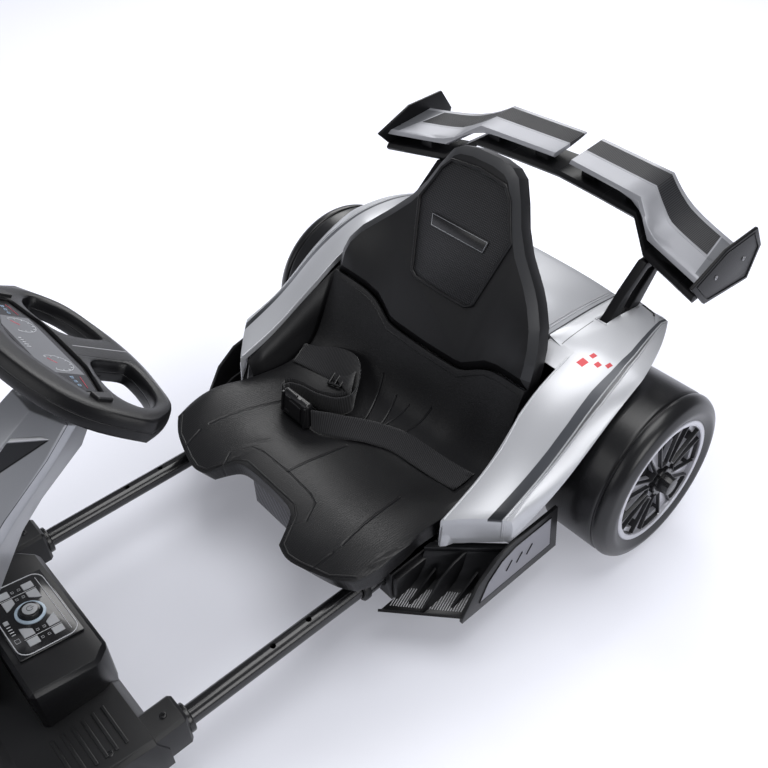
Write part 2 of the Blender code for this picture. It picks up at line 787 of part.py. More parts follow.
SIDE_PANEL_WALL = 0.0025
side_panel_outer_x = TUB_HALF_WIDTH + 0.001 + SIDE_PANEL_WALL + 0.0015
passage_inner = (TUB_HALF_WIDTH - 0.015, 0, REAR_TYRE_RADIUS)
passage_outer = (side_panel_outer_x + 0.015, 0, REAR_TYRE_RADIUS)
axle_passage = rod(passage_inner, passage_outer, REAR_AXLE_DIAMETER + 2 * SEAM)
side_panel = combined(shell(facing(side_panel_surface(), (-1, 0, 0)), SIDE_PANEL_WALL), ("DIFFERENCE", axle_passage))
both_sides("side_panel", side_panel, BLACK_PLASTIC)


# Rear deck behind the backrest

# Columns: y, half-width of the flat top, top z, edge z
DECK_STATIONS = [
    (-0.048, 0.150, 0.318, 0.306),
    (0.000, 0.147, 0.317, 0.306),
    (0.060, 0.138, 0.311, 0.304),
    (0.108, 0.128, 0.302, 0.297),
    (0.116, 0.127, 0.290, 0.288),
]


def deck_surface():
    rings = []
    for y, flat, z_top, z_edge in DECK_STATIONS:
        half = [(0.0, z_top + 0.004), (flat * 0.55, z_top + 0.003), (flat, z_top), (DECK_HALF_WIDTH, z_edge)]
        half.append((DECK_HALF_WIDTH, z_edge - 0.010))
        ring = [Vector((-x, y, z)) for x, z in reversed(half)] + [Vector((x, y, z)) for x, z in half[1:]]
        rings.append(ring)
    return loft(rings, capped=False, ring_closed=False)


node("rear_deck", shell(facing(deck_surface(), (0, 0, 1)), PANEL), SILVER_PAINT)


# Rear panel between the wheels, below the deck

REAR_PANEL_HALF_WIDTH = TUB_HALF_WIDTH - 0.005
REAR_PANEL_BOTTOM_Z = TUB_BOTTOM_Z + 0.007
REAR_PANEL_TOP_Z = 0.283
REAR_PANEL_WALL = 0.0057
FIN_COUNT = 6
FIN_PITCH = 0.060
FIN_THICKNESS = 0.004
FIN_DEPTH = 0.034
FIN_TOP_Z = 0.130


def rear_panel_mesh():
    """A flat plate with a row of upright fins along its lower edge, like a race car's diffuser."""
    front = TUB_REAR_Y + SEAM
    low = (-REAR_PANEL_HALF_WIDTH, front, REAR_PANEL_BOTTOM_Z)
    base = block(low, (REAR_PANEL_HALF_WIDTH, front + REAR_PANEL_WALL, REAR_PANEL_TOP_Z))
    fins = []
    for fin in range(FIN_COUNT):
        x = (fin - (FIN_COUNT - 1) / 2) * FIN_PITCH
        fin_low = (x - FIN_THICKNESS / 2, front + 0.002, REAR_PANEL_BOTTOM_Z + 0.004)
        fin_high = (x + FIN_THICKNESS / 2, front + 0.002 + FIN_DEPTH, FIN_TOP_Z)
        fins.append(("UNION", block(fin_low, fin_high)))
    return combined(base, *fins)


node("rear_panel", rear_panel_mesh(), BLACK_PLASTIC, smooth=False)


# Side steps: a tray that curves up to a ledge under each fender, with ribs and an outer wall

STEP_INNER_X = side_panel_outer_x
STEP_OUTER_X = 0.292
STEP_WALL = 0.005
STEP_SHEET = 0.0035
STEP_MIDDLE_X = (STEP_INNER_X + STEP_OUTER_X) / 2
# How far back the tray's outer edge lies for each metre across, and how far up at its ledge
STEP_SKEW = 0.86
STEP_RISE = 0.14
# Side section of the tray at its inner edge, (y, z), from the lip to the ledge
STEP_SECTION = [
    (-0.4005, 0.0680),
    (-0.3940, 0.0620),
    (-0.3520, 0.0660),
    (-0.3360, 0.0750),
    (-0.3240, 0.0920),
    (-0.3165, 0.1180),
]
LEDGE_SECTION = [(-0.3185, 0.1175), (-0.3185, 0.1245), (-0.3060, 0.1245), (-0.3060, 0.1175)]
# Upper edge of the middle rib, (y, z), and the short ribs' ends along y
STEP_RIB = [(-0.362, 0.068), (-0.330, 0.104), (-0.305, 0.1165), (-0.278, 0.1215)]
SHORT_RIB = (-0.345, -0.298)
SHORT_RIB_SPACING = 0.021
RIB_THICKNESS = 0.003
# Side outline of the outer wall, (y, z)
STEP_WALL_OUTLINE = [
    (-0.331, 0.057),
    (-0.331, 0.067),
    (-0.303, 0.112),
    (-0.270, 0.1365),
    (-0.236, 0.1455),
    (-0.153, 0.1455),
    (-0.144, 0.057),
]


def step_row(x, section):
    """A section of the tray carried out to x, skewed back and raised with its height."""
    out = x - STEP_INNER_X
    floor_z = STEP_SECTION[1][1]
    ledge_z = LEDGE_SECTION[1][1]
    row = []
    for y, z in section:
        share = max(0.0, z - floor_z) / (ledge_z - floor_z)
        row.append(Vector((x, y + out * STEP_SKEW, z + out * STEP_RISE * share)))
    return row


def standing_at(x):
    """Stands a flat shape of (y, z) points up across x."""
    return Matrix(((0, 0, 1, x), (1, 0, 0, 0), (0, 1, 0, 0), (0, 0, 0, 1)))


def upright(outline, thickness, x):
    """A side outline of (y, z) points as a plate standing across x."""
    return moved(slab(outline, thickness), standing_at(x))


def step_mesh():
    ends = (STEP_INNER_X, STEP_OUTER_X)
    tray = shell(facing(loft([step_row(x, STEP_SECTION) for x in ends], False, False), (0, -0.3, 1)), STEP_SHEET)
    ledge = loft([step_row(x, LEDGE_SECTION) for x in ends])
    foot_low = (TUB_HALF_WIDTH + SEAM, -0.370, 0.0605)
    foot = block(foot_low, (STEP_INNER_X + 0.004, -0.310, TUB_RIM_Z - 0.004))
    steps = [("UNION", ledge), ("UNION", foot)]
    rib_foot = [(STEP_RIB[-1][0], 0.106), (STEP_RIB[-1][0] - 0.012, 0.080), (STEP_RIB[0][0] + 0.030, 0.0607)]
    rib_foot.append((STEP_RIB[0][0], 0.0607))
    steps.append(("UNION", upright(STEP_RIB + rib_foot, RIB_THICKNESS, STEP_MIDDLE_X)))
    for side in (-1, 1):
        x = STEP_MIDDLE_X + side * SHORT_RIB_SPACING
        back = side * SHORT_RIB_SPACING * STEP_SKEW
        front_y, rear_y = (y + back for y in SHORT_RIB)
        outline = [(front_y, 0.0607), (front_y, 0.067), (rear_y, 0.097), (rear_y, 0.079), (rear_y - 0.015, 0.0607)]
        steps.append(("UNION", upright(outline, RIB_THICKNESS, x)))
    steps.append(("UNION", upright(STEP_WALL_OUTLINE, STEP_WALL, STEP_OUTER_X + STEP_WALL / 2 - 0.001)))
    return combined(tray, *steps)


both_sides("side_step", step_mesh(), BLACK_PLASTIC)


# Rear wing: lower beam, two stays, two blades and two end plates

# Columns: |x|, front y and z, rear y and z of the upper blade
WING_STATIONS = [
    (0.0155, 0.161, 0.434, REAR_REACH, 0.445),
    (0.1530, 0.143, 0.436, 0.227, 0.446),
    (0.1960, 0.113, 0.405, 0.209, 0.418),
    (WING_TIP_X, 0.080, 0.398, 0.177, 0.410),
]
BEAM_DROP = 0.022
BEAM_CHORD = 0.060
BEAM_THICKNESS = 0.011


def blade_ring(x, front, rear, thickness):
    """A wing section in the plane of constant x, front and rear given as (y, z)."""
    front, rear = Vector((x, *front)), Vector((x, *rear))
    down = Vector((0, 0, -thickness))
    return [
        front + Vector((0, 0, -thickness * 0.35)),
        front.lerp(rear, 0.06) + Vector((0, 0, thickness * 0.15)),
        front.lerp(rear, 0.55),
        rear,
        rear + down * 0.35,
        front.lerp(rear, 0.55) + down * 0.9,
        front.lerp(rear, 0.06) + down * 0.85,
    ]


blade = loft([blade_ring(x, (yf, zf), (yr, zr), WING_CHORD_THICKNESS) for x, yf, zf, yr, zr in WING_STATIONS])
both_sides("wing_blade", blade, SILVER_PAINT)


def beam_centre(x):
    """Front edge of the lower beam under the blade at x."""
    rows = [(row[0], row) for row in WING_STATIONS]
    y = table_value([(x0, row[1]) for x0, row in rows], abs(x)) - 0.004
    z = table_value([(x0, row[2]) for x0, row in rows], abs(x)) - BEAM_DROP
    return y, z


beam_stations = [-WING_TIP_X, -0.196, -0.153, -0.08, 0.0, 0.08, 0.153, 0.196, WING_TIP_X]
beam_rings = []
for x in beam_stations:
    y, z = beam_centre(x)
    beam_rings.append(blade_ring(x, (y, z), (y + BEAM_CHORD, z + 0.006), BEAM_THICKNESS))
beam_steps = []
for x in (-0.240, -0.135, -0.045, 0.045, 0.135, 0.240):
    y, z = beam_centre(x)
    beam_steps.append(("UNION", block((x - 0.012, y + 0.018, z - 0.004), (x + 0.012, y + 0.042, z + BEAM_DROP - 0.0075))))
node("wing_beam", combined(loft(beam_rings), *beam_steps), SATIN_PLASTIC)

# Side outline of an end plate, (y, z)
WING_ENDPLATE = [(0.060, 0.400), (0.130, 0.429), (0.205, 0.432), (0.230, 0.395), (0.215, 0.345), (0.105, 0.355)]
ENDPLATE_THICKNESS = 0.005
endplate = upright(WING_ENDPLATE, ENDPLATE_THICKNESS, WING_TIP_X + SEAM + ENDPLATE_THICKNESS / 2)
both_sides("wing_endplate", endplate, SATIN_PLASTIC)

stay = moved(pierced(STAY_OUTLINE, STAY_THICKNESS, [STAY_SLOT]), standing_at(STAY_X))
both_sides("wing_stay", stay, BLACK_PLASTIC)


# Lap belt on the cushion: the right strap turns back in a standing loop to the side-release buckle,
# which stands on its edge, and the left strap twists down from it to lie flat

BELT_WIDTH = 0.038
BELT_THICKNESS = 0.0018
BELT_LIFT = 0.0022
# Lower edge of each strap in plan, x and y, and how far the strap stands up from the cushion in degrees
STRAP_RIGHT = [
    (-0.193, -0.225, 0),
    (-0.160, -0.213, 0),
    (-0.128, -0.201, 8),
    (-0.098, -0.193, 40),
    (-0.070, -0.199, 75),
    (-0.053, -0.219, 85),
    (-0.061, -0.243, 85),
    (-0.088, -0.256, 82),
    (-0.115, -0.262, 82),
    (-0.130, -0.275, 82),
    (-0.129, -0.290, 84),
    (-0.1205, -0.2945, 86),
]
STRAP_LEFT = [
    (-0.0548, -0.2950, 86),
    (-0.040, -0.2915, 68),
    (-0.016, -0.274, 44),
    (0.010, -0.250, 22),
    (0.046, -0.231, 6),
    (0.100, -0.227, 0),
    (0.176, -0.230, 0),
]
STRAP_STEPS = 2
BUCKLE = Vector((0.060, 0.014, 0.042))
BUCKLE_PLACE = (-0.0875, -0.295)
BUCKLE_LEAN = math.radians(8)
BUCKLE_LIFT = 0.0036


def strap_mesh(route):
    """A flat band that rests on the cushion by its lower edge, and lies on it where it stands up by none."""
    rows = []
    for start, end in zip(route, route[1:]):
        rows += [Vector(start).lerp(Vector(end), i / STRAP_STEPS) for i in range(STRAP_STEPS)]
    rows.append(Vector(route[-1]))
    rings = []
    for i, (x, y, stand) in enumerate(rows):
        ahead, behind = rows[min(i + 1, len(rows) - 1)], rows[max(i - 1, 0)]
        run = Vector((ahead.x - behind.x, ahead.y - behind.y, 0)).normalized()
        across = Vector((0, 0, 1)).cross(run)
        flat, up = math.cos(math.radians(stand)), math.sin(math.radians(stand))
        face = Vector((0, 0, flat)) - across * up
        low = []
        for share in (0.0, 0.5, 1.0):
            spot = Vector((x, y, 0)) + across * BELT_WIDTH * share * flat
            spot.z = cushion_height(spot.x, spot.y) + BELT_LIFT + BELT_WIDTH * share * up
            low.append(spot)
        rings.append(low + [spot + face * BELT_THICKNESS for spot in reversed(low)])
    return loft(rings)


node("belt_strap_right", strap_mesh(STRAP_RIGHT), WEBBING)
node("belt_strap_left", strap_mesh(STRAP_LEFT), WEBBING)
buckle_x, buckle_y = BUCKLE_PLACE
buckle_rise = cushion_height(buckle_x + 0.02, buckle_y) - cushion_height(buckle_x - 0.02, buckle_y)
buckle_turn = Matrix.Rotation(-math.atan2(buckle_rise, 0.04), 4, "Y") @ Matrix.Rotation(-BUCKLE_LEAN, 4, "X")
buckle_z = cushion_height(buckle_x, buckle_y) + BUCKLE_LIFT + BUCKLE.z / 2
buckle = bevelled(block(-BUCKLE / 2, BUCKLE / 2), 0.003)
node("belt_buckle", moved(buckle, Matrix.Translation((buckle_x, buckle_y, buckle_z)) @ buckle_turn), BLACK_PLASTIC)


# Rear axle, gearboxes and rear wheels

REAR_AXLE_Z = REAR_TYRE_RADIUS
axle_half = REAR_WHEEL_X + REAR_TYRE_WIDTH / 2 + 0.004
GEARBOX_INNER_X = side_panel_outer_x
GEARBOX_OUTER_X = GEARBOX_INNER_X + 0.026
GEARBOX_RADIUS = 0.052
MOTOR_DIAMETER = 0.038
hub_face_x = REAR_WHEEL_X + REAR_TYRE_WIDTH / 2 - 0.006
cap_steps = []
for side in (-1, 1):
    cap_steps.append(("UNION", rod(
        (side * (hub_face_x + SEAM), 0, REAR_AXLE_Z), (side * (axle_half + 0.006), 0, REAR_AXLE_Z), 0.032, 12, 0.026)))
rear_axle = rod((-axle_half, 0, REAR_AXLE_Z), (axle_half, 0, REAR_AXLE_Z), REAR_AXLE_DIAMETER)
node("rear_axle", combined(rear_axle, *cap_steps), BARE_STEEL)


def gearbox_mesh():
    """A round gear case against the tub, with its motor reaching forward."""
    case = rod((GEARBOX_INNER_X, 0, REAR_AXLE_Z), (GEARBOX_OUTER_X, 0, REAR_AXLE_Z), 2 * GEARBOX_RADIUS, 20)
    nose_low = (GEARBOX_INNER_X + 0.0010, -0.075, REAR_AXLE_Z - 0.018)
    nose_high = (GEARBOX_OUTER_X - 0.004, -0.075, REAR_AXLE_Z - 0.018)
    nose = rod(nose_low, nose_high, 0.052, 16)
    bridge = block((GEARBOX_INNER_X + 0.0005, -0.070, REAR_AXLE_Z - 0.044), (GEARBOX_OUTER_X - 0.005, -0.010, REAR_AXLE_Z + 0.006))
    bore_start = (GEARBOX_INNER_X - 0.02, 0, REAR_AXLE_Z)
    bore_end = (GEARBOX_OUTER_X + 0.02, 0, REAR_AXLE_Z)
    bore = rod(bore_start, bore_end, REAR_AXLE_DIAMETER + 2 * SEAM)
    foot = block((TUB_HALF_WIDTH + SEAM, -0.040, 0.084), (GEARBOX_INNER_X + 0.004, 0.030, TUB_RIM_Z - 0.003))
    return combined(case, ("UNION", nose), ("UNION", bridge), ("UNION", foot), ("DIFFERENCE", bore))


both_sides("gearbox", gearbox_mesh(), BLACK_PLASTIC)


def tyre_mesh(radius, width, rim_radius, steps):
    """A smooth hard tyre about Z: outer face at the top, a groove near the outer shoulder."""
    half = width / 2
    shoulder = 0.012
    profile = [
        (rim_radius + SEAM, half - 0.006),
        (radius - 0.020, half),
        (radius - shoulder * 0.45, half - 0.006),
        (radius, half - shoulder - 0.004),
        (radius, half - 0.024),
        (radius - 0.003, half - 0.026),
        (radius, half - 0.028),
        (radius, -half + shoulder),
        (radius - shoulder, -half),
        (rim_radius + SEAM, -half),
    ]
    return turned(profile, steps)


def wheel_window(count, index, inner, outer, half_angle, taper):
    """One opening between spokes, as (x, y) points about the wheel's centre."""
    middle = 2 * math.pi * index / count
    loop = []
    for step in range(3):
        angle = middle + half_angle * (step - 1)
        loop.append((outer * math.cos(angle), outer * math.sin(angle)))
    for step in (1, -1):
        angle = middle + half_angle * taper * step
        loop.append((inner * math.cos(angle), inner * math.sin(angle)))
    return loop


def rim_mesh(radius, width, spokes, hub_radius, bore, steps):
    """A rim about Z: barrel, face with openings between the spokes, and a hub with its bore."""
    half = width / 2
    face = half - 0.014
    circle = [((radius - 0.004) * math.cos(a), (radius - 0.004) * math.sin(a))
              for a in (2 * math.pi * i / steps for i in range(steps))]
    half_angle = math.pi / spokes * 0.62
    windows = [wheel_window(spokes, i, hub_radius + 0.012, radius - 0.016, half_angle, 0.55) for i in range(spokes)]
    disc = moved(pierced(circle, 0.006, windows), Matrix.Translation((0, 0, face - 0.003)))
    barrel = turned(
        [
            (radius - 0.008, half - 0.006),
            (radius, half - 0.009),
            (radius, -half),
            (radius - 0.005, -half),
            (radius - 0.005, half - 0.020),
        ],
        steps,
    )
    hub = rod((0, 0, -half + 0.004), (0, 0, half - 0.006), 2 * hub_radius, 12)
    hole = rod((0, 0, -half - 0.01), (0, 0, half + 0.01), bore, 10)
    return combined(disc, ("UNION", barrel), ("UNION", hub), ("DIFFERENCE", hole))


def outward(side, place):
    """Turns a wheel modelled about Z so that its outer face looks away from the kart."""
    return Matrix.Translation(place) @ Matrix.Rotation(side * math.pi / 2, 4, "Y")


def wheel(name, side, place, tyre, rim, parent):
    turn = outward(side, place)
    node(f"{name}_tyre", moved(tyre, turn), TYRE_PLASTIC, parent, place)
    node(f"{name}_rim", moved(rim, turn), SILVER_PAINT, parent, place)


rear_tyre = tyre_mesh(REAR_TYRE_RADIUS, REAR_TYRE_WIDTH, REAR_RIM_RADIUS, 26)
rear_rim = rim_mesh(REAR_RIM_RADIUS, REAR_TYRE_WIDTH, REAR_SPOKES, 0.017, REAR_AXLE_DIAMETER + 2 * PIN_CLEARANCE, 26)
for name, side in (("rear_left", 1), ("rear_right", -1)):
    wheel(name, side, Vector((side * REAR_WHEEL_X, 0, REAR_AXLE_Z)), rear_tyre, rear_rim, datum)


# Front pod: a raised foot floor over the steering, with a socket round each frame tube

POD_HALF_WIDTH = 0.200
POD_NECK_HALF_WIDTH = 0.190
ARCH_FRONT_Y = FRONT_AXLE_Y - 0.035
ARCH_REAR_Y = FRONT_AXLE_Y + 0.085
ARCH_TOP_Z = 0.114
PIT_HALF_WIDTH = 0.050
PIT_FRONT_Y = FRONT_AXLE_Y - 0.005
PIT_REAR_Y = FRONT_AXLE_Y + 0.083
SOCKET_FRONT_Y = FRONT_AXLE_Y + 0.120
FRONT_AXLE_Z = FRONT_TYRE_RADIUS
TIE_ROD_Z = 0.090
TIE_ROD_Y = FRONT_AXLE_Y + STEERING_ARM

# Side section of the pod's upper face, (y, z), from the rear edge to the nose
POD_SECTION = [
    (POD_REAR_Y, 0.092),
    (POD_REAR_Y - 0.012, POD_FLOOR_Z),
    (ARCH_REAR_Y, POD_FLOOR_Z),
    (FRONT_AXLE_Y + 0.040, 0.133),
    (FRONT_AXLE_Y - 0.025, 0.150),
    (POD_FRONT_Y + 0.031, 0.146),
    (POD_FRONT_Y, 0.120),
]


def pod_half_width(y):
    return POD_HALF_WIDTH if y > ARCH_REAR_Y + 0.02 else POD_NECK_HALF_WIDTH


def pod_mesh():
    rings = []
    for y, z in POD_SECTION:
        half = pod_half_width(y)
        rings.append([
            Vector((-half, y, POD_BOTTOM_Z)),
            Vector((-half, y, z - 0.006)),
            Vector((-half + 0.006, y, z)),
            Vector((half - 0.006, y, z)),
            Vector((half, y, z - 0.006)),
            Vector((half, y, POD_BOTTOM_Z)),
        ])
    outer = loft(rings)
    inner_rings = []
    for y, z in POD_SECTION:
        half = pod_half_width(y) - POD_WALL
        middle = (POD_REAR_Y + POD_FRONT_Y) / 2
        drawn = y + (POD_WALL if y < middle else -POD_WALL)
        inner_rings.append([
            Vector((-half, drawn, POD_BOTTOM_Z - 0.01)),
            Vector((-half, drawn, z - POD_WALL)),
            Vector((half, drawn, z - POD_WALL)),
            Vector((half, drawn, POD_BOTTOM_Z - 0.01)),
        ])
    steps = [("DIFFERENCE", loft(inner_rings))]
    for side in (-1, 1):
        low = (side * RAIL_X - SOCKET_HALF, SOCKET_FRONT_Y, RAIL_Z - SOCKET_HALF)
        high = (side * RAIL_X + SOCKET_HALF, SOCKET_REAR_Y, POD_FLOOR_Z - 0.001)
        steps.append(("UNION", bevelled(block(low, high), 0.004)))
    for side in (-1, 1):
        bore_start = (side * RAIL_X, SOCKET_REAR_Y + 0.01, RAIL_Z)
        bore_end = (side * RAIL_X, SOCKET_FRONT_Y - 0.07, RAIL_Z)
        steps.append(("DIFFERENCE", rod(bore_start, bore_end, RAIL_DIAMETER + 2 * RAIL_CLEARANCE, 18)))
        arch_low = (side * 0.195 - 0.02, ARCH_FRONT_Y, POD_BOTTOM_Z - 0.01)
        arch_high = (side * 0.195 + 0.02, ARCH_REAR_Y, ARCH_TOP_Z + 0.015)
        steps.append(("DIFFERENCE", block(arch_low, arch_high)))
    pit = block((-PIT_HALF_WIDTH, PIT_FRONT_Y, POD_BOTTOM_Z - 0.01), (PIT_HALF_WIDTH, PIT_REAR_Y, 0.20))
    steps.append(("DIFFERENCE", pit))
    return combined(outer, *steps)


node("front_pod", pod_mesh(), BLACK_PLASTIC, front_section, smooth=False)


# Front axle beam with a fork at each end for the kingpin

KNUCKLE_HEIGHT = 0.034
KNUCKLE_DIAMETER = 0.022
LUG_THICKNESS = 0.004
BEAM_SIDE = 0.020
SADDLE_X = 0.100
SADDLE_TOP_Z = 0.1374
lug_gap = KNUCKLE_HEIGHT / 2 + 0.0005


def axle_beam_mesh():
    beam = block(
        (-KINGPIN_X + 0.016, FRONT_AXLE_Y - BEAM_SIDE / 2, FRONT_AXLE_Z - BEAM_SIDE / 2),
        (KINGPIN_X - 0.016, FRONT_AXLE_Y + BEAM_SIDE / 2, FRONT_AXLE_Z + BEAM_SIDE / 2),
    )
    steps = []
    for side in (-1, 1):
        steps.append(("UNION", block(
            (side * SADDLE_X - 0.015, FRONT_AXLE_Y - BEAM_SIDE / 2, FRONT_AXLE_Z),
            (side * SADDLE_X + 0.015, FRONT_AXLE_Y + BEAM_SIDE / 2, SADDLE_TOP_Z),
        )))
        web_x = sorted((side * (KINGPIN_X - 0.021), side * (KINGPIN_X - 0.015)))
        height = lug_gap + LUG_THICKNESS
        steps.append(("UNION", block(
            (web_x[0], FRONT_AXLE_Y - 0.011, FRONT_AXLE_Z - height),
            (web_x[1], FRONT_AXLE_Y + 0.011, FRONT_AXLE_Z + height),
        )))
        for level in (-1, 1):
            lug_x = sorted((side * (KINGPIN_X - 0.018), side * (KINGPIN_X + 0.009)))
            lug_z = sorted((FRONT_AXLE_Z + level * lug_gap, FRONT_AXLE_Z + level * height))
            steps.append(("UNION", block(
                (lug_x[0], FRONT_AXLE_Y - 0.011, lug_z[0]),
                (lug_x[1], FRONT_AXLE_Y + 0.011, lug_z[1]),
            )))
    for side in (-1, 1):
        low = (side * KINGPIN_X, FRONT_AXLE_Y, FRONT_AXLE_Z - 0.04)
        high = (side * KINGPIN_X, FRONT_AXLE_Y, FRONT_AXLE_Z + 0.04)
        steps.append(("DIFFERENCE", rod(low, high, KINGPIN_DIAMETER + 2 * PIN_CLEARANCE, 10)))
    return combined(beam, *steps)


node("front_axle_beam", axle_beam_mesh(), BLACK_STEEL, front_section, smooth=False)


# Knuckles: kingpin barrel, stub axle and steering arm

ARM_Z = 0.1015
ARM_THICKNESS = 0.006
ARM_PIN_DIAMETER = 0.006
front_stub_end = FRONT_WHEEL_X + FRONT_TYRE_WIDTH / 2 + 0.002


def knuckle_mesh():
    """The left knuckle."""
    middle = Vector((KINGPIN_X, FRONT_AXLE_Y, FRONT_AXLE_Z))
    half = Vector((0, 0, KNUCKLE_HEIGHT / 2))
    pin = Vector((0, 0, lug_gap + LUG_THICKNESS + 0.003))
    arm_end = Vector((KINGPIN_X, TIE_ROD_Y, ARM_Z))
    lift = Vector((0, 0, ARM_THICKNESS / 2))
    return combined(
        rod(middle - half, middle + half, KNUCKLE_DIAMETER, 12),
        ("UNION", rod(middle - pin, middle + pin, KINGPIN_DIAMETER, 10)),
        ("UNION", rod(middle + Vector((0.004, 0, 0)), (front_stub_end, FRONT_AXLE_Y, FRONT_AXLE_Z), FRONT_AXLE_DIAMETER, 12)),
        ("UNION", block(
            (KINGPIN_X - 0.006, FRONT_AXLE_Y + 0.004, ARM_Z - ARM_THICKNESS / 2),
            (KINGPIN_X + 0.006, TIE_ROD_Y, ARM_Z + ARM_THICKNESS / 2),
        )),
        ("UNION", rod(arm_end - lift, arm_end + lift, 0.014, 10)),
        ("UNION", rod(arm_end, (KINGPIN_X, TIE_ROD_Y, TIE_ROD_Z - 0.006), ARM_PIN_DIAMETER, 10)),
    )


knuckle = knuckle_mesh()
for name, side, mesh in (("left", 1, knuckle), ("right", -1, mirrored(knuckle))):
    pivot = (side * KINGPIN_X, FRONT_AXLE_Y, FRONT_AXLE_Z)
    node(f"knuckle_{name}", mesh, BLACK_STEEL, front_section, pivot)


# Tie rod: a flat bar between the arms, with a slotted tab for the column's crank pin

TIE_ROD_THICKNESS = 0.006
TIE_ROD_WIDTH = 0.012
TIE_ROD_EYE = 0.016
SLOT_WIDTH = CRANK_PIN_DIAMETER + 0.006
SLOT_LENGTH = 0.032
SLOT_MIDDLE_Y = TIE_ROD_Y - 0.010


def tie_rod_mesh():
    low_z = TIE_ROD_Z - TIE_ROD_THICKNESS / 2
    high_z = TIE_ROD_Z + TIE_ROD_THICKNESS / 2
    half = TIE_ROD_WIDTH / 2
    bar = block((-KINGPIN_X, TIE_ROD_Y - half, low_z), (KINGPIN_X, TIE_ROD_Y + half, high_z))
    tab_half = SLOT_LENGTH / 2 + 0.006
    steps = [("UNION", block((-0.017, SLOT_MIDDLE_Y - tab_half, low_z), (0.017, SLOT_MIDDLE_Y + tab_half, high_z)))]
    for side in (-1, 1):
        steps.append(("UNION", rod(
            (side * KINGPIN_X, TIE_ROD_Y, low_z), (side * KINGPIN_X, TIE_ROD_Y, high_z), TIE_ROD_EYE, 14)))
    steps.append(("DIFFERENCE", block(
        (-SLOT_WIDTH / 2, SLOT_MIDDLE_Y - SLOT_LENGTH / 2, low_z - 0.01),
        (SLOT_WIDTH / 2, SLOT_MIDDLE_Y + SLOT_LENGTH / 2, high_z + 0.01))))
    for side in (-1, 1):
        steps.append(("DIFFERENCE", rod(
            (side * KINGPIN_X, TIE_ROD_Y, low_z - 0.01), (side * KINGPIN_X, TIE_ROD_Y, high_z + 0.01),
            ARM_PIN_DIAMETER + 2 * PIN_CLEARANCE, 10)))
    return combined(bar, *steps)


tie_pivot = (KINGPIN_X, TIE_ROD_Y, TIE_ROD_Z)
node("tie_rod", tie_rod_mesh(), BARE_STEEL, front_section, tie_pivot, smooth=False)


# Front wheels on the knuckles

front_tyre = tyre_mesh(FRONT_TYRE_RADIUS, FRONT_TYRE_WIDTH, FRONT_RIM_RADIUS, 22)
front_rim = rim_mesh(FRONT_RIM_RADIUS, FRONT_TYRE_WIDTH, FRONT_SPOKES, 0.014, FRONT_AXLE_DIAMETER + 2 * PIN_CLEARANCE, 22)
for name, side in (("front_left", 1), ("front_right", -1)):
    wheel(name, side, Vector((side * FRONT_WHEEL_X, FRONT_AXLE_Y, FRONT_AXLE_Z)), front_tyre, front_rim, front_section)


# Steering wheel, display and column, turning about the leaning column axis

COLUMN_FRAME = Matrix.Translation(STEERING_CENTRE) @ Matrix.Rotation(-COLUMN_LEAN, 4, "X")
COLUMN_LENGTH = 0.429
# Outline of the rim, half, from the driver's edge round to the far edge: (x, along the wheel)
WHEEL_OUTLINE = [
    (0.000, 0.069),
    (0.045, 0.065),
    (0.0725, 0.059),
    (0.107, 0.053),
    (0.127, 0.038),
    (0.150, 0.004),
    (0.136, -0.043),
    (0.105, -0.073),
    (0.047, -0.091),
    (0.000, -0.097),
]
# Opening beside the middle spoke, on the driver's side
WHEEL_OPENING = [
    (0.028, 0.002),
    (0.028, 0.044),
    (0.034, 0.048),
    (0.075, 0.044),
    (0.108, 0.032),
    (0.121, 0.012),
    (0.116, 0.000),
    (0.098, -0.011),
    (0.060, -0.008),
]
WHEEL_THICKNESS = 0.026
DISPLAY_OUTLINE = [(0.045, -0.012), (0.102, -0.025), (0.102, -0.041), (0.030, -0.069)]
DISPLAY_THICKNESS = 0.0095


def steering_wheel_mesh():
    """A padded rim and its wide middle spoke, recessed for the display, over a tapered hub."""
    openings = [WHEEL_OPENING, [(-x, y) for x, y in reversed(WHEEL_OPENING)]]
    rim = pierced(mirrored_loop(WHEEL_OUTLINE), WHEEL_THICKNESS, openings, round_edge=0.007)
    hub = rod((0, -0.01, -0.040), (0, -0.01, -0.006), 0.060, 20, 0.076)
    bore = rod((0, 0, -0.05), (0, 0, -0.012), COLUMN_DIAMETER + 2 * SEAM, 16)
    recess = slab(offset_loop(mirrored_loop(DISPLAY_OUTLINE), 2 * SEAM), 0.04)
    recess = moved(recess, Matrix.Translation((0, 0, 0.02 - SEAM)))
    return combined(rim, ("UNION", hub), ("DIFFERENCE", bore), ("DIFFERENCE", recess))


node("steering_wheel", moved(steering_wheel_mesh(), COLUMN_FRAME), BLACK_PLASTIC, front_section, STEERING_CENTRE)
display = slab(mirrored_loop(DISPLAY_OUTLINE), DISPLAY_THICKNESS)
display = bevelled(moved(display, Matrix.Translation((0, 0, SEAM + DISPLAY_THICKNESS / 2))), 0.0015)
node("steering_display", moved(display, COLUMN_FRAME), DISPLAY_GREY, front_section, STEERING_CENTRE)


def column_mesh():
    """The shaft, with a crank pin at its foot that works the tie rod's slot."""
    foot = -COLUMN_LENGTH
    return combined(
        rod((0, 0, foot), (0, 0, -0.012 - SEAM), COLUMN_DIAMETER, 16),
        ("UNION", block((-0.007, -0.004, foot), (0.007, CRANK_RADIUS, foot + 0.006))),
        ("UNION", rod((0, CRANK_RADIUS, foot + 0.006), (0, CRANK_RADIUS, foot - 0.054), CRANK_PIN_DIAMETER, 12)),
    )


node("steering_column", moved(column_mesh(), COLUMN_FRAME), BLACK_STEEL, front_section, STEERING_CENTRE)


# Column cowl: a faceted hood round the column, its ridge towards the driver, down to the pod

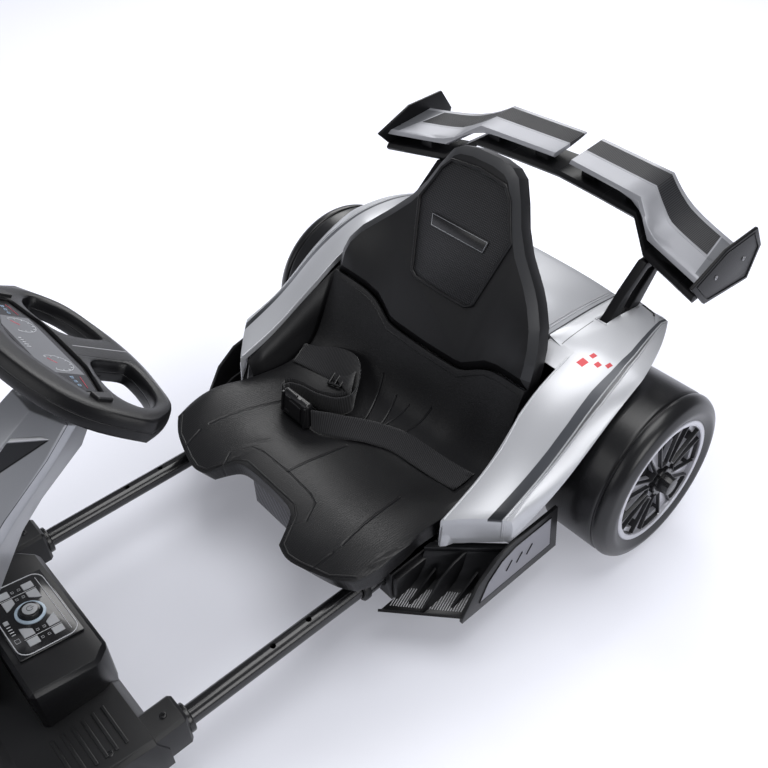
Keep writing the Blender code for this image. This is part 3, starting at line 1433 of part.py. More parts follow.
# Columns: distance down the column from the wheel; half-width and reach of the ridge; half-width
# of the corners and their place along the wheel; reach ahead
COWL_STATIONS = [
    (0.052, 0.016, 0.038, 0.046, 0.002, 0.036),
    (0.092, 0.016, 0.040, 0.050, -0.008, 0.052),
    (0.160, 0.013, 0.021, 0.052, -0.027, 0.075),
    (0.200, 0.013, 0.0135, 0.054, -0.036, 0.086),
    (0.330, 0.016, 0.0135, 0.064, -0.050, 0.122),
    (0.405, 0.034, 0.0430, 0.072, -0.040, 0.146),
    (0.520, 0.038, 0.0460, 0.080, -0.050, 0.165),
]
COWL_WALL = 0.004


def cowl_ring(down, ridge, near, half, corner, far, wall=0.0):
    """A section across the column, drawn in by a wall's thickness."""
    return [
        Vector((x, y, -down))
        for x, y in (
            (-half + wall, corner - 0.012), (-half + wall, corner - wall), (-ridge + wall, near - wall),
            (ridge - wall, near - wall), (half - wall, corner - wall), (half - wall, corner - 0.012),
            (half * 0.45, -far + wall), (-half * 0.45, -far + wall),
        )
    ]


def over_the_pod():
    """Everything below the pod's upper face, with the seam's gap, for pieces that stand on it."""
    rings = []
    for y, z in [(POD_REAR_Y + 0.1, 0.092), *POD_SECTION, (POD_FRONT_Y - 0.2, POD_SECTION[-1][1])]:
        rings.append([Vector((-0.3, y, 0)), Vector((-0.3, y, z + SEAM)), Vector((0.3, y, z + SEAM)), Vector((0.3, y, 0))])
    return loft(rings)


def cowl_mesh():
    outer = loft([cowl_ring(*station) for station in COWL_STATIONS])
    first, *between, last = COWL_STATIONS
    inner_stations = [(first[0] + COWL_WALL, *first[1:]), *between, (last[0] + 0.02, *last[1:])]
    inner = loft([cowl_ring(*station, wall=COWL_WALL) for station in inner_stations])
    bearing = rod((0, 0, -0.04), (0, 0, -0.08), COLUMN_DIAMETER + 2 * PIN_CLEARANCE, 16)
    hood = combined(outer, ("DIFFERENCE", inner), ("DIFFERENCE", bearing))
    return combined(moved(hood, COLUMN_FRAME), ("DIFFERENCE", over_the_pod()))


node("column_cowl", cowl_mesh(), SILVER_PAINT, front_section)


# Console with its control panel, between the driver's feet

CONSOLE_HALF_WIDTH = 0.105
CONSOLE_REAR_HALF_WIDTH = 0.087
CONSOLE_REAR_Y = POD_REAR_Y + 0.002
CONSOLE_CORNER_Y = POD_REAR_Y - 0.017
CONSOLE_FRONT_Y = POD_REAR_Y - 0.093
# Height of the console's sloping top at its rear and front edges
CONSOLE_REAR_Z = 0.168
CONSOLE_FRONT_Z = 0.184
PANEL_HALF = Vector((0.057, 0.037))
PANEL_THICKNESS = 0.003
KNOB_DIAMETER = 0.026
KNOB_HEIGHT = 0.007

console_outline = mirrored_loop([
    (CONSOLE_REAR_HALF_WIDTH, CONSOLE_REAR_Y),
    (CONSOLE_HALF_WIDTH, CONSOLE_CORNER_Y),
    (CONSOLE_HALF_WIDTH, CONSOLE_FRONT_Y),
])
console_slope = math.atan2(CONSOLE_FRONT_Z - CONSOLE_REAR_Z, CONSOLE_REAR_Y - CONSOLE_FRONT_Y)
console_top = Vector((0, (CONSOLE_REAR_Y + CONSOLE_FRONT_Y) / 2, (CONSOLE_REAR_Z + CONSOLE_FRONT_Z) / 2))
console_frame = Matrix.Translation(console_top) @ Matrix.Rotation(-console_slope, 4, "X")


def console_mesh():
    """A block with bevelled rear corners, cut by its sloping top and stood on the pod."""
    body = moved(slab(console_outline, 0.12), Matrix.Translation((0, 0, 0.152)))
    above = moved(block((-0.2, -0.2, 0.0), (0.2, 0.2, 0.2)), console_frame)
    return combined(bevelled(combined(body, ("DIFFERENCE", above)), 0.005), ("DIFFERENCE", over_the_pod()))


node("console", console_mesh(), BLACK_PLASTIC, front_section)

panel_low = Vector((-PANEL_HALF.x, -PANEL_HALF.y, SEAM))
panel_face = block(panel_low, (PANEL_HALF.x, PANEL_HALF.y, SEAM + PANEL_THICKNESS))
knob_foot = Vector((0, 0, PANEL_THICKNESS / 2))
knob = rod(knob_foot, (0, 0, SEAM + PANEL_THICKNESS + KNOB_HEIGHT), KNOB_DIAMETER, 20, KNOB_DIAMETER - 0.003)
node("control_panel", moved(combined(panel_face, ("UNION", knob)), console_frame), DISPLAY_GREY, front_section)


# Pedals on the foot ramp: throttle on the right, brake on the left

PEDAL_X = 0.146
PEDAL_Y = FRONT_AXLE_Y - 0.005
PEDAL_LEAN = math.radians(55)
PEDAL = Vector((0.046, 0.062, 0.005))


def pedal_mesh():
    """The left pedal: a ribbed plate leaning towards the driver from a foot on the ramp."""
    plate = bevelled(block((-PEDAL.x / 2, 0, -PEDAL.z / 2), (PEDAL.x / 2, PEDAL.y, PEDAL.z / 2)), 0.0015)
    steps = []
    for rib in range(4):
        place = 0.016 + rib * 0.013
        steps.append(("UNION", block((-PEDAL.x / 2 + 0.005, place, 0.0), (PEDAL.x / 2 - 0.005, place + 0.004, 0.0045))))
    leaned = Matrix.Translation((PEDAL_X, PEDAL_Y, 0.156)) @ Matrix.Rotation(PEDAL_LEAN, 4, "X")
    plate = moved(combined(plate, *steps), leaned)
    foot = block((PEDAL_X - 0.018, PEDAL_Y - 0.012, 0.10), (PEDAL_X + 0.018, PEDAL_Y + 0.010, 0.162))
    return combined(plate, ("UNION", foot), ("DIFFERENCE", over_the_pod()))


both_sides("pedal", pedal_mesh(), SATIN_PLASTIC, front_section)


# Front bumper across the pod's nose

# Front edge in plan, (x, y), from the right end to the left
BUMPER_FRONT = [
    (-0.186, -FRONT_REACH + 0.030),
    (-0.150, -FRONT_REACH + 0.012),
    (-0.060, -FRONT_REACH),
    (0.060, -FRONT_REACH),
    (0.150, -FRONT_REACH + 0.012),
    (0.186, -FRONT_REACH + 0.030),
]
BUMPER_LOW_Z = 0.060
BUMPER_MIDDLE_Z = 0.088
BUMPER_TOP_Z = 0.120


def bumper_mesh():
    rear = POD_FRONT_Y - SEAM
    rings = []
    for x, front in BUMPER_FRONT:
        section = [
            (rear, BUMPER_LOW_Z),
            (front + 0.007, BUMPER_LOW_Z),
            (front, BUMPER_MIDDLE_Z),
            (front + 0.007, BUMPER_TOP_Z),
            (rear, BUMPER_TOP_Z),
        ]
        rings.append([Vector((x, y, z)) for y, z in section])
    return loft(rings)


node("front_bumper", bumper_mesh(), BLACK_PLASTIC, front_section)
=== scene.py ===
"""Looks of the electric drift kart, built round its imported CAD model.

Metres, +Z up. The kart faces -Y and the driver's left is +X. The rear axle is at y = 0.415.
"""
import json
import math

import bpy
from mathutils import Matrix, Vector


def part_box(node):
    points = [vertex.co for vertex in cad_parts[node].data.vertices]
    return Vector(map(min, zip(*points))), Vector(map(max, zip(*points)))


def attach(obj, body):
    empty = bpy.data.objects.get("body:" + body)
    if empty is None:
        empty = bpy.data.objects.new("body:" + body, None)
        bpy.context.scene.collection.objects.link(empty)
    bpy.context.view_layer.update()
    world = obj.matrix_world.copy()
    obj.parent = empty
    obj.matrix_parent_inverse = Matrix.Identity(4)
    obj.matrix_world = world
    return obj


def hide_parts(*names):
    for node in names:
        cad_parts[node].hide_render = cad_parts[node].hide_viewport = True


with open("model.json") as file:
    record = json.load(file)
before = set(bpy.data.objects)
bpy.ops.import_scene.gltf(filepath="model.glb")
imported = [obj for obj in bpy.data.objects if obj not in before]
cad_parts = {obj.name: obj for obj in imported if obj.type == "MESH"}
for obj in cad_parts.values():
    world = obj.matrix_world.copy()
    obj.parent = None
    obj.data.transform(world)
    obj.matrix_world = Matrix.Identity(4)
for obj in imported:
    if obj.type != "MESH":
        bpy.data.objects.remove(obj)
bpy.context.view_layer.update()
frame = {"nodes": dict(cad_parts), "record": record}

REAR_AXLE_Y = 0.415
SIDES = ((1, "left"), (-1, "right"))
body_of = {node: body for body, nodes in frame["record"]["behaviour"]["bodies"].items() for node in nodes}


# Camera: the photograph's place over the kart's front left, level across. It stands about 1.2 m
# from the kart's middle, and its shifts bring the kart to the same spot of the picture.

def linked(name, data):
    """A new object in the scene with this data."""
    made = bpy.data.objects.new(name, data)
    bpy.context.scene.collection.objects.link(made)
    return made


camera_data = bpy.data.cameras.new("photo_camera")
camera = linked("photo_camera", camera_data)
camera_right = Vector((0.68276, 0.73064, 0.0))
camera_down = Vector((0.47393, -0.44287, -0.76108))
camera_forward = Vector((-0.55608, 0.51964, -0.64865))
camera_turn = Matrix((camera_right, -camera_down, -camera_forward)).transposed()
camera.matrix_world = Matrix.Translation((0.7402, -0.4183, 1.0628)) @ camera_turn.to_4x4()
camera_data.sensor_width = 36.0
camera_data.lens = 41.936
camera_data.shift_x = -0.03785
camera_data.shift_y = -0.02137
camera_data.clip_start = 0.01
bpy.context.scene.camera = camera


# Studio: a pale glossy floor, a white surround for the camera and large soft lamps. The floor's
# glow is weaker under the kart than round it, a painted shadow, and the surround adds only a little light.

bpy.context.scene.view_settings.view_transform = "Standard"


def new_material(name):
    """A material, its node tree and its shader."""
    made = bpy.data.materials.new(name)
    made.use_nodes = True
    return made, made.node_tree, made.node_tree.nodes["Principled BSDF"]


def add_node(tree, kind, sockets=None, **settings):
    """A node with its settings, and values or links for its sockets."""
    made = tree.nodes.new(kind)
    for name, value in settings.items():
        setattr(made, name, value)
    for name, value in (sockets or {}).items():
        if isinstance(value, bpy.types.NodeSocket):
            tree.links.new(value, made.inputs[name])
        else:
            made.inputs[name].default_value = value
    return made


def calc(tree, operation, first, second=0.0):
    return add_node(tree, "ShaderNodeMath", {0: first, 1: second}, operation=operation).outputs[0]


world = bpy.data.worlds.new("studio")
bpy.context.scene.world = world
world.use_nodes = True
world_tree = world.node_tree
world_tree.nodes.clear()
ray = add_node(world_tree, "ShaderNodeLightPath")
seen = calc(world_tree, "MAXIMUM", ray.outputs["Is Camera Ray"], ray.outputs["Is Transmission Ray"])
room_light = add_node(world_tree, "ShaderNodeBackground", {"Color": (0.90, 0.92, 1.0, 1.0), "Strength": 0.20})
room_white = add_node(world_tree, "ShaderNodeBackground", {"Color": (1.0, 1.0, 1.0, 1.0), "Strength": 1.0})
room_mix = add_node(
    world_tree, "ShaderNodeMixShader", {0: seen, 1: room_light.outputs[0], 2: room_white.outputs[0]}
)
add_node(world_tree, "ShaderNodeOutputWorld", {"Surface": room_mix.outputs[0]})

bpy.ops.object.select_all(action="DESELECT")
bpy.ops.mesh.primitive_plane_add(size=30.0, location=(0, 0, -0.0005))
studio_floor = bpy.context.object
studio_floor.name = "studio_floor"
floor_material, floor_tree, floor_shader = new_material("studio_floor")
floor_shader.inputs["Base Color"].default_value = (0.58, 0.59, 0.64, 1.0)
floor_shader.inputs["Roughness"].default_value = 0.16
floor_shader.inputs["Specular IOR Level"].default_value = 0.45
floor_ray = add_node(floor_tree, "ShaderNodeLightPath")
floor_seen = calc(
    floor_tree, "MAXIMUM", floor_ray.outputs["Is Camera Ray"], floor_ray.outputs["Is Glossy Ray"]
)
floor_place = add_node(floor_tree, "ShaderNodeTexCoord").outputs["Object"]
# Painted shadow of the kart: the floor's glow is weaker near the kart's middle and stronger further out
painted_shadow_spread = add_node(
    floor_tree, "ShaderNodeVectorMath", {0: floor_place, 1: (1.25, 0.80, 0.0)}, operation="MULTIPLY"
)
painted_shadow_reach = add_node(floor_tree, "ShaderNodeVectorMath", {0: painted_shadow_spread.outputs[0]}, operation="LENGTH")
floor_painted_shadow_level = add_node(
    floor_tree, "ShaderNodeMapRange",
    {
        "Value": painted_shadow_reach.outputs["Value"], "From Min": 0.20, "From Max": 0.95, "To Min": 0.22,
        "To Max": 0.66
    },
    interpolation_type="SMOOTHSTEP"
)
floor_glow_and_painted_shadow = add_node(
    floor_tree, "ShaderNodeEmission",
    {"Color": (0.90, 0.91, 1.0, 1.0), "Strength": floor_painted_shadow_level.outputs[0]}
)
floor_dark = add_node(floor_tree, "ShaderNodeEmission", {"Strength": 0.0})
floor_lift = add_node(
    floor_tree, "ShaderNodeMixShader", {0: floor_seen, 1: floor_dark.outputs[0], 2: floor_glow_and_painted_shadow.outputs[0]}
)
floor_sum = add_node(
    floor_tree, "ShaderNodeAddShader", {0: floor_shader.outputs[0], 1: floor_lift.outputs[0]}
)
floor_tree.links.new(floor_sum.outputs[0], floor_tree.nodes["Material Output"].inputs["Surface"])
studio_floor.data.materials.append(floor_material)


def soft_lamp(name, place, target, size, power, colour=(1.0, 1.0, 1.0)):
    lamp = bpy.data.lights.new(name, "AREA")
    lamp.shape = "RECTANGLE"
    lamp.size, lamp.size_y = size
    lamp.energy = power
    lamp.color = colour
    holder = linked(name, lamp)
    look = Vector(target) - Vector(place)
    holder.matrix_world = Matrix.Translation(place) @ look.to_track_quat("-Z", "Y").to_matrix().to_4x4()


soft_lamp("lamp_above", (0.2, 0.6, 2.6), (0.0, 0.2, 0.0), (1.8, 1.8), 40.0)
soft_lamp("lamp_behind", (-1.6, 1.9, 1.7), (0.0, 0.3, 0.2), (1.8, 1.2), 32.0)
soft_lamp("lamp_left", (2.4, 0.2, 1.3), (0.1, 0.2, 0.2), (1.3, 1.3), 20.0)
soft_lamp("lamp_front", (-0.8, -2.4, 1.6), (0.0, 0.0, 0.2), (2.0, 1.4), 12.0)


# Seat: one bucket blow-moulded in black plastic with a pebbled skin. Creases are pressed into the
# cushion and darkened with painted shade, a bead runs along its front edge, and four posts hold it over the
# tub.

def nothing_selected():
    if bpy.context.mode != "OBJECT":
        bpy.ops.object.mode_set(mode="OBJECT")
    bpy.ops.object.select_all(action="DESELECT")


def only_selected(piece):
    nothing_selected()
    piece.select_set(True)
    bpy.context.view_layer.objects.active = piece


def edit_whole(piece):
    """Edit mode with everything of the piece selected."""
    only_selected(piece)
    bpy.ops.object.mode_set(mode="EDIT")
    bpy.ops.mesh.select_all(action="SELECT")


def finish_with(piece, kind, **settings):
    """One modifier on a piece, applied at once."""
    only_selected(piece)
    modifier = piece.modifiers.new(kind.lower(), kind)
    for name, value in settings.items():
        setattr(modifier, name, value)
    bpy.ops.object.modifier_apply(modifier=modifier.name)


def rounded_edges(piece, width, segments=2, angle=28):
    limit = math.radians(angle)
    finish_with(
        piece, "BEVEL", width=width, segments=segments, limit_method="ANGLE", angle_limit=limit,
        use_clamp_overlap=True
    )


def smooth_faces(piece, angle=40):
    only_selected(piece)
    bpy.ops.object.shade_smooth_by_angle(angle=math.radians(angle))


def cad_copy(node, dissolve=0.6):
    """A copy of a CAD node with its loose triangles joined into whole faces."""
    nothing_selected()
    piece = linked(f"{node}_finished", frame["nodes"][node].data.copy())
    edit_whole(piece)
    bpy.ops.mesh.remove_doubles(threshold=2e-5)
    bpy.ops.mesh.dissolve_limited(angle_limit=math.radians(dissolve))
    bpy.ops.object.mode_set(mode="OBJECT")
    piece.data.materials.clear()
    return piece


def fitted(piece, surface, *nodes, body=None):
    """The piece gets its material, rides on its body and stands for the CAD nodes named."""
    piece.data.materials.clear()
    piece.data.materials.append(surface)
    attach(piece, body or body_of[nodes[0]])
    if nodes:
        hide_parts(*nodes)
    return piece


def detail(piece, surface, node):
    """A piece of its own that goes with a CAD node, which stays as it is."""
    fitted(piece, surface, body=body_of[node])
    return piece


def tidied(node, surface, width=0.0008, segments=2, angle=28, smooth=40):
    """A CAD node redone with rounded edges and smooth curves."""
    piece = cad_copy(node)
    rounded_edges(piece, width, segments, angle)
    smooth_faces(piece, smooth)
    return fitted(piece, surface, node)


def softened(node, surface, crease=35, levels=2, smooth=50, edge=None):
    """A CAD node redone with its curved faces drawn smooth between its sharp edges, which are then
    rounded by (width, segments, angle)."""
    piece = cad_copy(node, dissolve=0.3)
    edit_whole(piece)
    bpy.ops.mesh.quads_convert_to_tris()
    bpy.ops.mesh.tris_convert_to_quads(face_threshold=math.radians(30), shape_threshold=math.radians(60))
    bpy.ops.mesh.select_all(action="DESELECT")
    bpy.ops.mesh.select_mode(type="EDGE")
    bpy.ops.mesh.edges_select_sharp(sharpness=math.radians(crease))
    bpy.ops.transform.edge_crease(value=1.0)
    bpy.ops.object.mode_set(mode="OBJECT")
    finish_with(piece, "SUBSURF", levels=levels, render_levels=levels)
    if edge:
        rounded_edges(piece, *edge)
    smooth_faces(piece, smooth)
    return fitted(piece, surface, node)


def times(tree, result, *others):
    for other in others:
        result = calc(tree, "MULTIPLY", result, other)
    return result


def minus(tree, first, second):
    return calc(tree, "SUBTRACT", first, second)


def plus(tree, result, *others):
    for other in others:
        result = calc(tree, "ADD", result, other)
    return result


def noise(tree, place, scale, detail):
    sockets = {"Vector": place, "Scale": scale, "Detail": detail}
    return add_node(tree, "ShaderNodeTexNoise", sockets).outputs["Fac"]


def spread(tree, value, low, high):
    """A value from 0 to 1 brought to between low and high."""
    return add_node(tree, "ShaderNodeMapRange", {"Value": value, "To Min": low, "To Max": high}).outputs[0]


def ramp(tree, value, low, high, to=1.0, kind="SMOOTHSTEP"):
    """From 0 at low up to the given value at high."""
    sockets = {"Value": value, "From Min": low, "From Max": high, "To Max": to}
    return add_node(tree, "ShaderNodeMapRange", sockets, interpolation_type=kind).outputs[0]


def band(tree, value, low, high, soft=0.0003):
    """1 between low and high, 0 outside."""
    return times(tree, ramp(tree, value, low - soft, low + soft), ramp(tree, value, high + soft, high - soft))


def vector(tree, operation, first, second, output=0):
    return add_node(tree, "ShaderNodeVectorMath", {0: first, 1: second}, operation=operation).outputs[output]


def scaled(tree, place, value):
    return add_node(tree, "ShaderNodeVectorMath", {0: place, "Scale": value}, operation="SCALE").outputs[0]


def line_distance(tree, place, start, end):
    """How far a place is from the line between two points."""
    run = Vector(end) - Vector(start)
    from_start = vector(tree, "SUBTRACT", place, tuple(start))
    share = vector(tree, "DOT_PRODUCT", from_start, tuple(run / run.length_squared), "Value")
    nearest = scaled(tree, (*run,), ramp(tree, share, 0.0, 1.0, kind="LINEAR"))
    return vector(tree, "LENGTH", vector(tree, "SUBTRACT", from_start, nearest), (0, 0, 0), "Value")


def in_plan(tree, place, both_sides=False):
    """The place dropped to the ground and, for a mirrored pattern, folded over to the left side."""
    if both_sides:
        place = vector(tree, "ABSOLUTE", place, (0, 0, 0))
    return vector(tree, "MULTIPLY", place, (1.0, 1.0, 0.0))


def painted(tree, shader, base, layers):
    """The base colour with each (mask, colour) laid over it, a colour being three numbers or a socket."""
    for mask, colour in layers:
        top = colour if isinstance(colour, bpy.types.NodeSocket) else (*colour, 1.0)
        base = add_node(tree, "ShaderNodeMix", {"Factor": mask, 6: base, 7: top}, data_type="RGBA").outputs[2]
    tree.links.new(base, shader.inputs["Base Color"])


def bumped(tree, shader, height):
    """Fine relief from a height in metres."""
    bump = add_node(tree, "ShaderNodeBump", {"Strength": 1.0, "Distance": 1.0, "Height": height})
    tree.links.new(bump.outputs[0], shader.inputs["Normal"])


def moulded_plastic(
    name, colour, roughness, grain=0.0004, depth=0.00004, shine=0.35, relief=None, marks=None, metal=0.0
):
    """Injection-moulded plastic: even grain, a slow drift in tone, and paler worn edges.

    relief(tree, place) gives the height in metres of what is pressed into it, marks(tree, place) the
    (mask, colour) pairs laid over it, and metal makes it a plated or cast metal part.
    """
    made, tree, shader = new_material(name)
    place = add_node(tree, "ShaderNodeTexCoord").outputs["Object"]
    slow = noise(tree, place, 9.0, 3.0)
    fine = noise(tree, place, 0.6 / grain, 2.0)
    tint = scaled(tree, (*colour,), spread(tree, slow, 0.82, 1.18))
    edge = add_node(tree, "ShaderNodeNewGeometry")
    worn = ramp(tree, edge.outputs["Pointiness"], 0.56, 0.70, 0.22)
    pale = tuple(min(1.0, c * 1.6 + 0.012) for c in colour)
    painted(tree, shader, tint, [(worn, pale)] + (marks(tree, place) if marks else []))
    gloss = spread(tree, fine, max(0.02, roughness - 0.06), roughness + 0.08)
    tree.links.new(gloss, shader.inputs["Roughness"])
    shader.inputs["Specular IOR Level"].default_value = shine
    shader.inputs["Metallic"].default_value = metal
    height = times(tree, fine, depth)
    if relief:
        height = plus(tree, height, relief(tree, place))
    bumped(tree, shader, height)
    return made


def smooth_finish(name, colour, roughness, metal=0.0):
    """Print, plating or a polished moulding, with next to no grain."""
    return moulded_plastic(name, colour, roughness, grain=0.0010, depth=0.00001, metal=metal)


# Creases of the left half in plan: start, end, half-width, depth
SEAT_CREASES = [
    ((0.000, 0.036), (0.000, 0.140), 0.0030, 0.0009),
    ((0.152, 0.008), (0.133, 0.124), 0.0030, 0.0010),
    ((0.053, 0.260), (0.024, 0.191), 0.0022, 0.0008),
    ((0.014, 0.251), (0.003, 0.213), 0.0022, 0.0006),
    ((0.092, -0.009), (0.072, 0.027), 0.0020, 0.0007),
    ((0.072, 0.027), (0.055, 0.033), 0.0020, 0.0007),
    ((0.055, 0.033), (0.000, 0.036), 0.0020, 0.0007),
]
# Fine ribs run fore and aft over the front half of the cushion
SEAT_RIB_PITCH = 0.0034


def xyz(tree, place):
    made = add_node(tree, "ShaderNodeSeparateXYZ", {0: place})
    return made.outputs[0], made.outputs[1], made.outputs[2]


def seat_relief(tree, place):
    plan = in_plan(tree, place, both_sides=True)
    total = None
    for start, end, half, depth in SEAT_CREASES:
        away = line_distance(tree, plan, (*start, 0.0), (*end, 0.0))
        fold = ramp(tree, away, 0.0, half, depth)
        total = fold if total is None else plus(tree, total, fold)
    cells = add_node(tree, "ShaderNodeTexVoronoi", {"Vector": place, "Scale": 620.0})
    _, y, _ = xyz(tree, place)
    x = vector(tree, "DOT_PRODUCT", place, (1.0, 0.0, 0.0), "Value")
    ribs = calc(tree, "SINE", times(tree, x, 2 * math.pi / SEAT_RIB_PITCH))
    ribs = times(tree, ribs, ramp(tree, y, 0.130, 0.110), 0.00006)
    total = plus(tree, total, ribs)
    dots = ramp(tree, cells.outputs["Distance"], 0.15, 0.55, 0.00009)
    return minus(tree, total, dots)


def seat_crease_painted_shade(tree, place):
    """Painted shade darkening the first four creases."""
    plan = in_plan(tree, place, both_sides=True)
    marks = []
    for start, end, half, _ in SEAT_CREASES[:4]:
        away = line_distance(tree, plan, (*start, 0.0), (*end, 0.0))
        # Painted shade: each crease is drawn darker towards its middle line
        marks.append((ramp(tree, away, half * 0.6, 0.0, 0.7), (0.004, 0.004, 0.005)))
    return marks


seat_plastic = moulded_plastic(
    "seat_plastic", (0.010, 0.010, 0.011), 0.36, grain=0.0005, shine=0.30, relief=seat_relief,
    marks=seat_crease_painted_shade
)
seat = softened("seat_shell", seat_plastic, edge=(0.0010, 2, 40))


def on_surface(target, x, y, above=0.0, start=0.8):
    """The point of a finished piece's upper face at a place in plan."""
    met, place, normal, _ = target.ray_cast(Vector((x, y, start)), Vector((0, 0, -1)))
    return place + normal * above if met else None


def bead(name, points, radius, closed=False, sides=2):
    """A round bar through points, with its ends closed."""
    curve = bpy.data.curves.new(name, "CURVE")
    curve.dimensions = "3D"
    curve.bevel_depth = radius
    curve.bevel_resolution = sides
    curve.use_fill_caps = True
    spline = curve.splines.new("POLY")
    spline.points.add(len(points) - 1)
    for spot, point in zip(spline.points, points):
        spot.co = (*point, 1.0)
    spline.use_cyclic_u = closed
    nothing_selected()
    piece = linked(name, curve)
    only_selected(piece)
    bpy.ops.object.convert(target="MESH")
    smooth_faces(piece, 60)
    return piece


def run_through(points, pitch):
    """Points at an even pitch along a line of points."""
    points = [Vector(point) for point in points]
    result = [points[0]]
    for a, b in zip(points, points[1:]):
        steps = max(1, round((b - a).length / pitch))
        result += [a.lerp(b, (i + 1) / steps) for i in range(steps)]
    return result


def joined(name, pieces):
    nothing_selected()
    for piece in pieces:
        piece.select_set(True)
    bpy.context.view_layer.objects.active = pieces[0]
    bpy.ops.object.join()
    pieces[0].name = name
    return pieces[0]


def surface_bead(name, target, plan, radius, sink=0.4, pitch=0.012):
    """A bead laid along a line in plan on a finished piece, sunk by a share of its radius."""
    spots = [
        on_surface(target, p.x, p.y, -radius * sink)
        for p in run_through([(x, y, 0) for x, y in plan], pitch)
    ]
    return bead(name, [spot for spot in spots if spot], radius)


SEAT_EDGE = [
    (0.000, 0.0068), (0.0535, 0.0068), (0.0705, -0.0035), (0.0900, -0.0400), (0.1060, -0.0450),
    (0.1270, -0.0420), (0.1720, -0.0300), (0.2000, -0.0090)
]
edge_plan = [(-x, y) for x, y in reversed(SEAT_EDGE)] + SEAT_EDGE[1:]
seat_bead = surface_bead("seat_front_bead", seat, edge_plan, 0.0021, 0.35, 0.008)
detail(seat_bead, seat_plastic, "seat_shell")


# Backrest and headrest: a separate black moulding screwed to the seat along a stepped seam. Its
# rim is a satin grey band, and the headrest carries a woven-look panel inside a rounded bead.

def placed(place, *turns):
    """A frame at a place, turned by each (degrees, axis) in turn."""
    made = Matrix.Translation(place)
    for degrees, axis in turns:
        made = made @ Matrix.Rotation(math.radians(degrees), 4, axis)
    return made


back_frame = placed((0.0, REAR_AXLE_Y - 0.126, 0.224), (67, "X"))
back_inverse = back_frame.inverted()
# Half outlines of the backrest and of the headrest panel, in the backrest's own frame
BACK_EDGE = [
    (0.197, 0.030), (0.197, 0.056), (0.196, 0.078), (0.191, 0.100), (0.178, 0.125), (0.157, 0.150),
    (0.129, 0.180), (0.110, 0.200), (0.090, 0.230), (0.076, 0.260), (0.060, 0.288), (0.045, 0.2975),
    (0.020, 0.302), (0.000, 0.302),
]
HEADREST_EDGE = [
    (0.000, 0.095), (0.050, 0.096), (0.061, 0.103), (0.088, 0.207), (0.075, 0.233), (0.064, 0.258),
    (0.050, 0.274), (0.000, 0.279)
]


def loop_of(half):
    """A closed outline from the half on the +X side, which starts and ends on the middle line."""
    return half + [(-x, y) for x, y in reversed(half) if x > 0]


def outline_distance(point, half):
    """How far a point is from an outline's half, folded to the +X side."""
    spot = Vector((abs(point[0]), point[1]))
    best = 1.0
    for a, b in zip(half, half[1:]):
        a, b = Vector(a), Vector(b)
        share = max(0.0, min(1.0, (spot - a).dot(b - a) / (b - a).length_squared))
        best = min(best, (spot - a.lerp(b, share)).length)
    return best


def back_axis(tree, place, axis):
    """How far along one axis of the backrest's own frame a place is."""
    row = back_inverse[axis]
    return plus(tree, vector(tree, "DOT_PRODUCT", place, tuple(row[:3]), "Value"), row[3])


back_plastic = moulded_plastic("back_plastic", (0.010, 0.010, 0.011), 0.37, grain=0.0005, shine=0.30)
rim_grey = moulded_plastic("rim_grey", (0.036, 0.037, 0.040), 0.38, grain=0.0004, shine=0.35)
backrest = tidied("backrest", back_plastic, 0.0016, 3, 20, 32)
backrest.data.materials.append(rim_grey)
for face in backrest.data.polygons:
    local = back_inverse @ face.center
    near_edge = outline_distance(local, BACK_EDGE)
    if local.z > -0.011 and local.y > 0.062 and near_edge < 0.0125 and near_edge > 0.0004:
        face.material_index = 1


# Phase of the printed threads along a diagonal, in radians per metre
THREAD_PHASE = 1050.0


def carbon_weave(tree, place):
    """Slanted threads, over and under in squares of 3 mm."""
    u = back_axis(tree, place, 0)
    v = back_axis(tree, place, 1)
    first = calc(tree, "SINE", times(tree, plus(tree, u, v), THREAD_PHASE))
    second = calc(tree, "SINE", times(tree, minus(tree, u, v), THREAD_PHASE))
    return times(tree, first, second)


def weave_relief(tree, place):
    return times(tree, carbon_weave(tree, place), 0.00022)


def weave_marks(tree, place):
    return [(ramp(tree, carbon_weave(tree, place), 0.1, 0.8, 0.85), (0.050, 0.051, 0.056))]


carbon_print = moulded_plastic(
    "carbon_print", (0.010, 0.010, 0.011), 0.32, shine=0.35, relief=weave_relief, marks=weave_marks
)
tidied("headrest_panel", carbon_print, 0.0007)

headrest_loop = [
    back_frame @ Vector((x, y, 0.0010))
    for x, y, _ in run_through([(x, y, 0) for x, y in loop_of(HEADREST_EDGE)], 0.006)
]
headrest_bead = bead("headrest_bead", headrest_loop, 0.0026, closed=True, sides=3)
detail(headrest_bead, back_plastic, "backrest")

# Fine second line on the seat, 9 mm under the stepped seam
BACK_SEAM = [
    (0.000, 0.004), (0.076, 0.006), (0.098, 0.020), (0.119, 0.033), (0.140, 0.038), (0.170, 0.0425),
    (0.190, 0.043)
]
seam_spots = []
for x, up in [(-x, up) for x, up in reversed(BACK_SEAM)] + BACK_SEAM[1:]:
    start = back_frame @ Vector((x, up - 0.009, 0.06))
    met, spot, normal, _ = seat.ray_cast(start, back_frame.to_3x3() @ Vector((0, 0, -1)))
    if met:
        seam_spots.append(spot - normal * 0.0003)
detail(bead("seat_seam_line", seam_spots, 0.0009), seat_plastic, "seat_shell")

# Badge plate, left blank: satin black with a thin bright rim
badge_black = moulded_plastic("badge_black", (0.012, 0.012, 0.013), 0.25, shine=0.5)
badge_metal = smooth_finish("badge_metal", (0.45, 0.46, 0.48), 0.30, metal=0.7)
tidied("headrest_plate", badge_black, 0.0005)
BADGE_RIM = [(-0.0535, 0.1938), (-0.0498, 0.1782), (0.0498, 0.1782), (0.0535, 0.1938)]
badge_rim = bead(
    "badge_rim", [back_frame @ Vector((x, y, 0.0032)) for x, y in BADGE_RIM], 0.00055, closed=True
)
detail(badge_rim, badge_metal, "headrest_plate")


# Side bodies: thin silver moulded shells, lacquered. A graphite stripe narrows towards the rear
# between two raised ridges, over the concave outer flank. The left shell's flat top carries red
# checks.

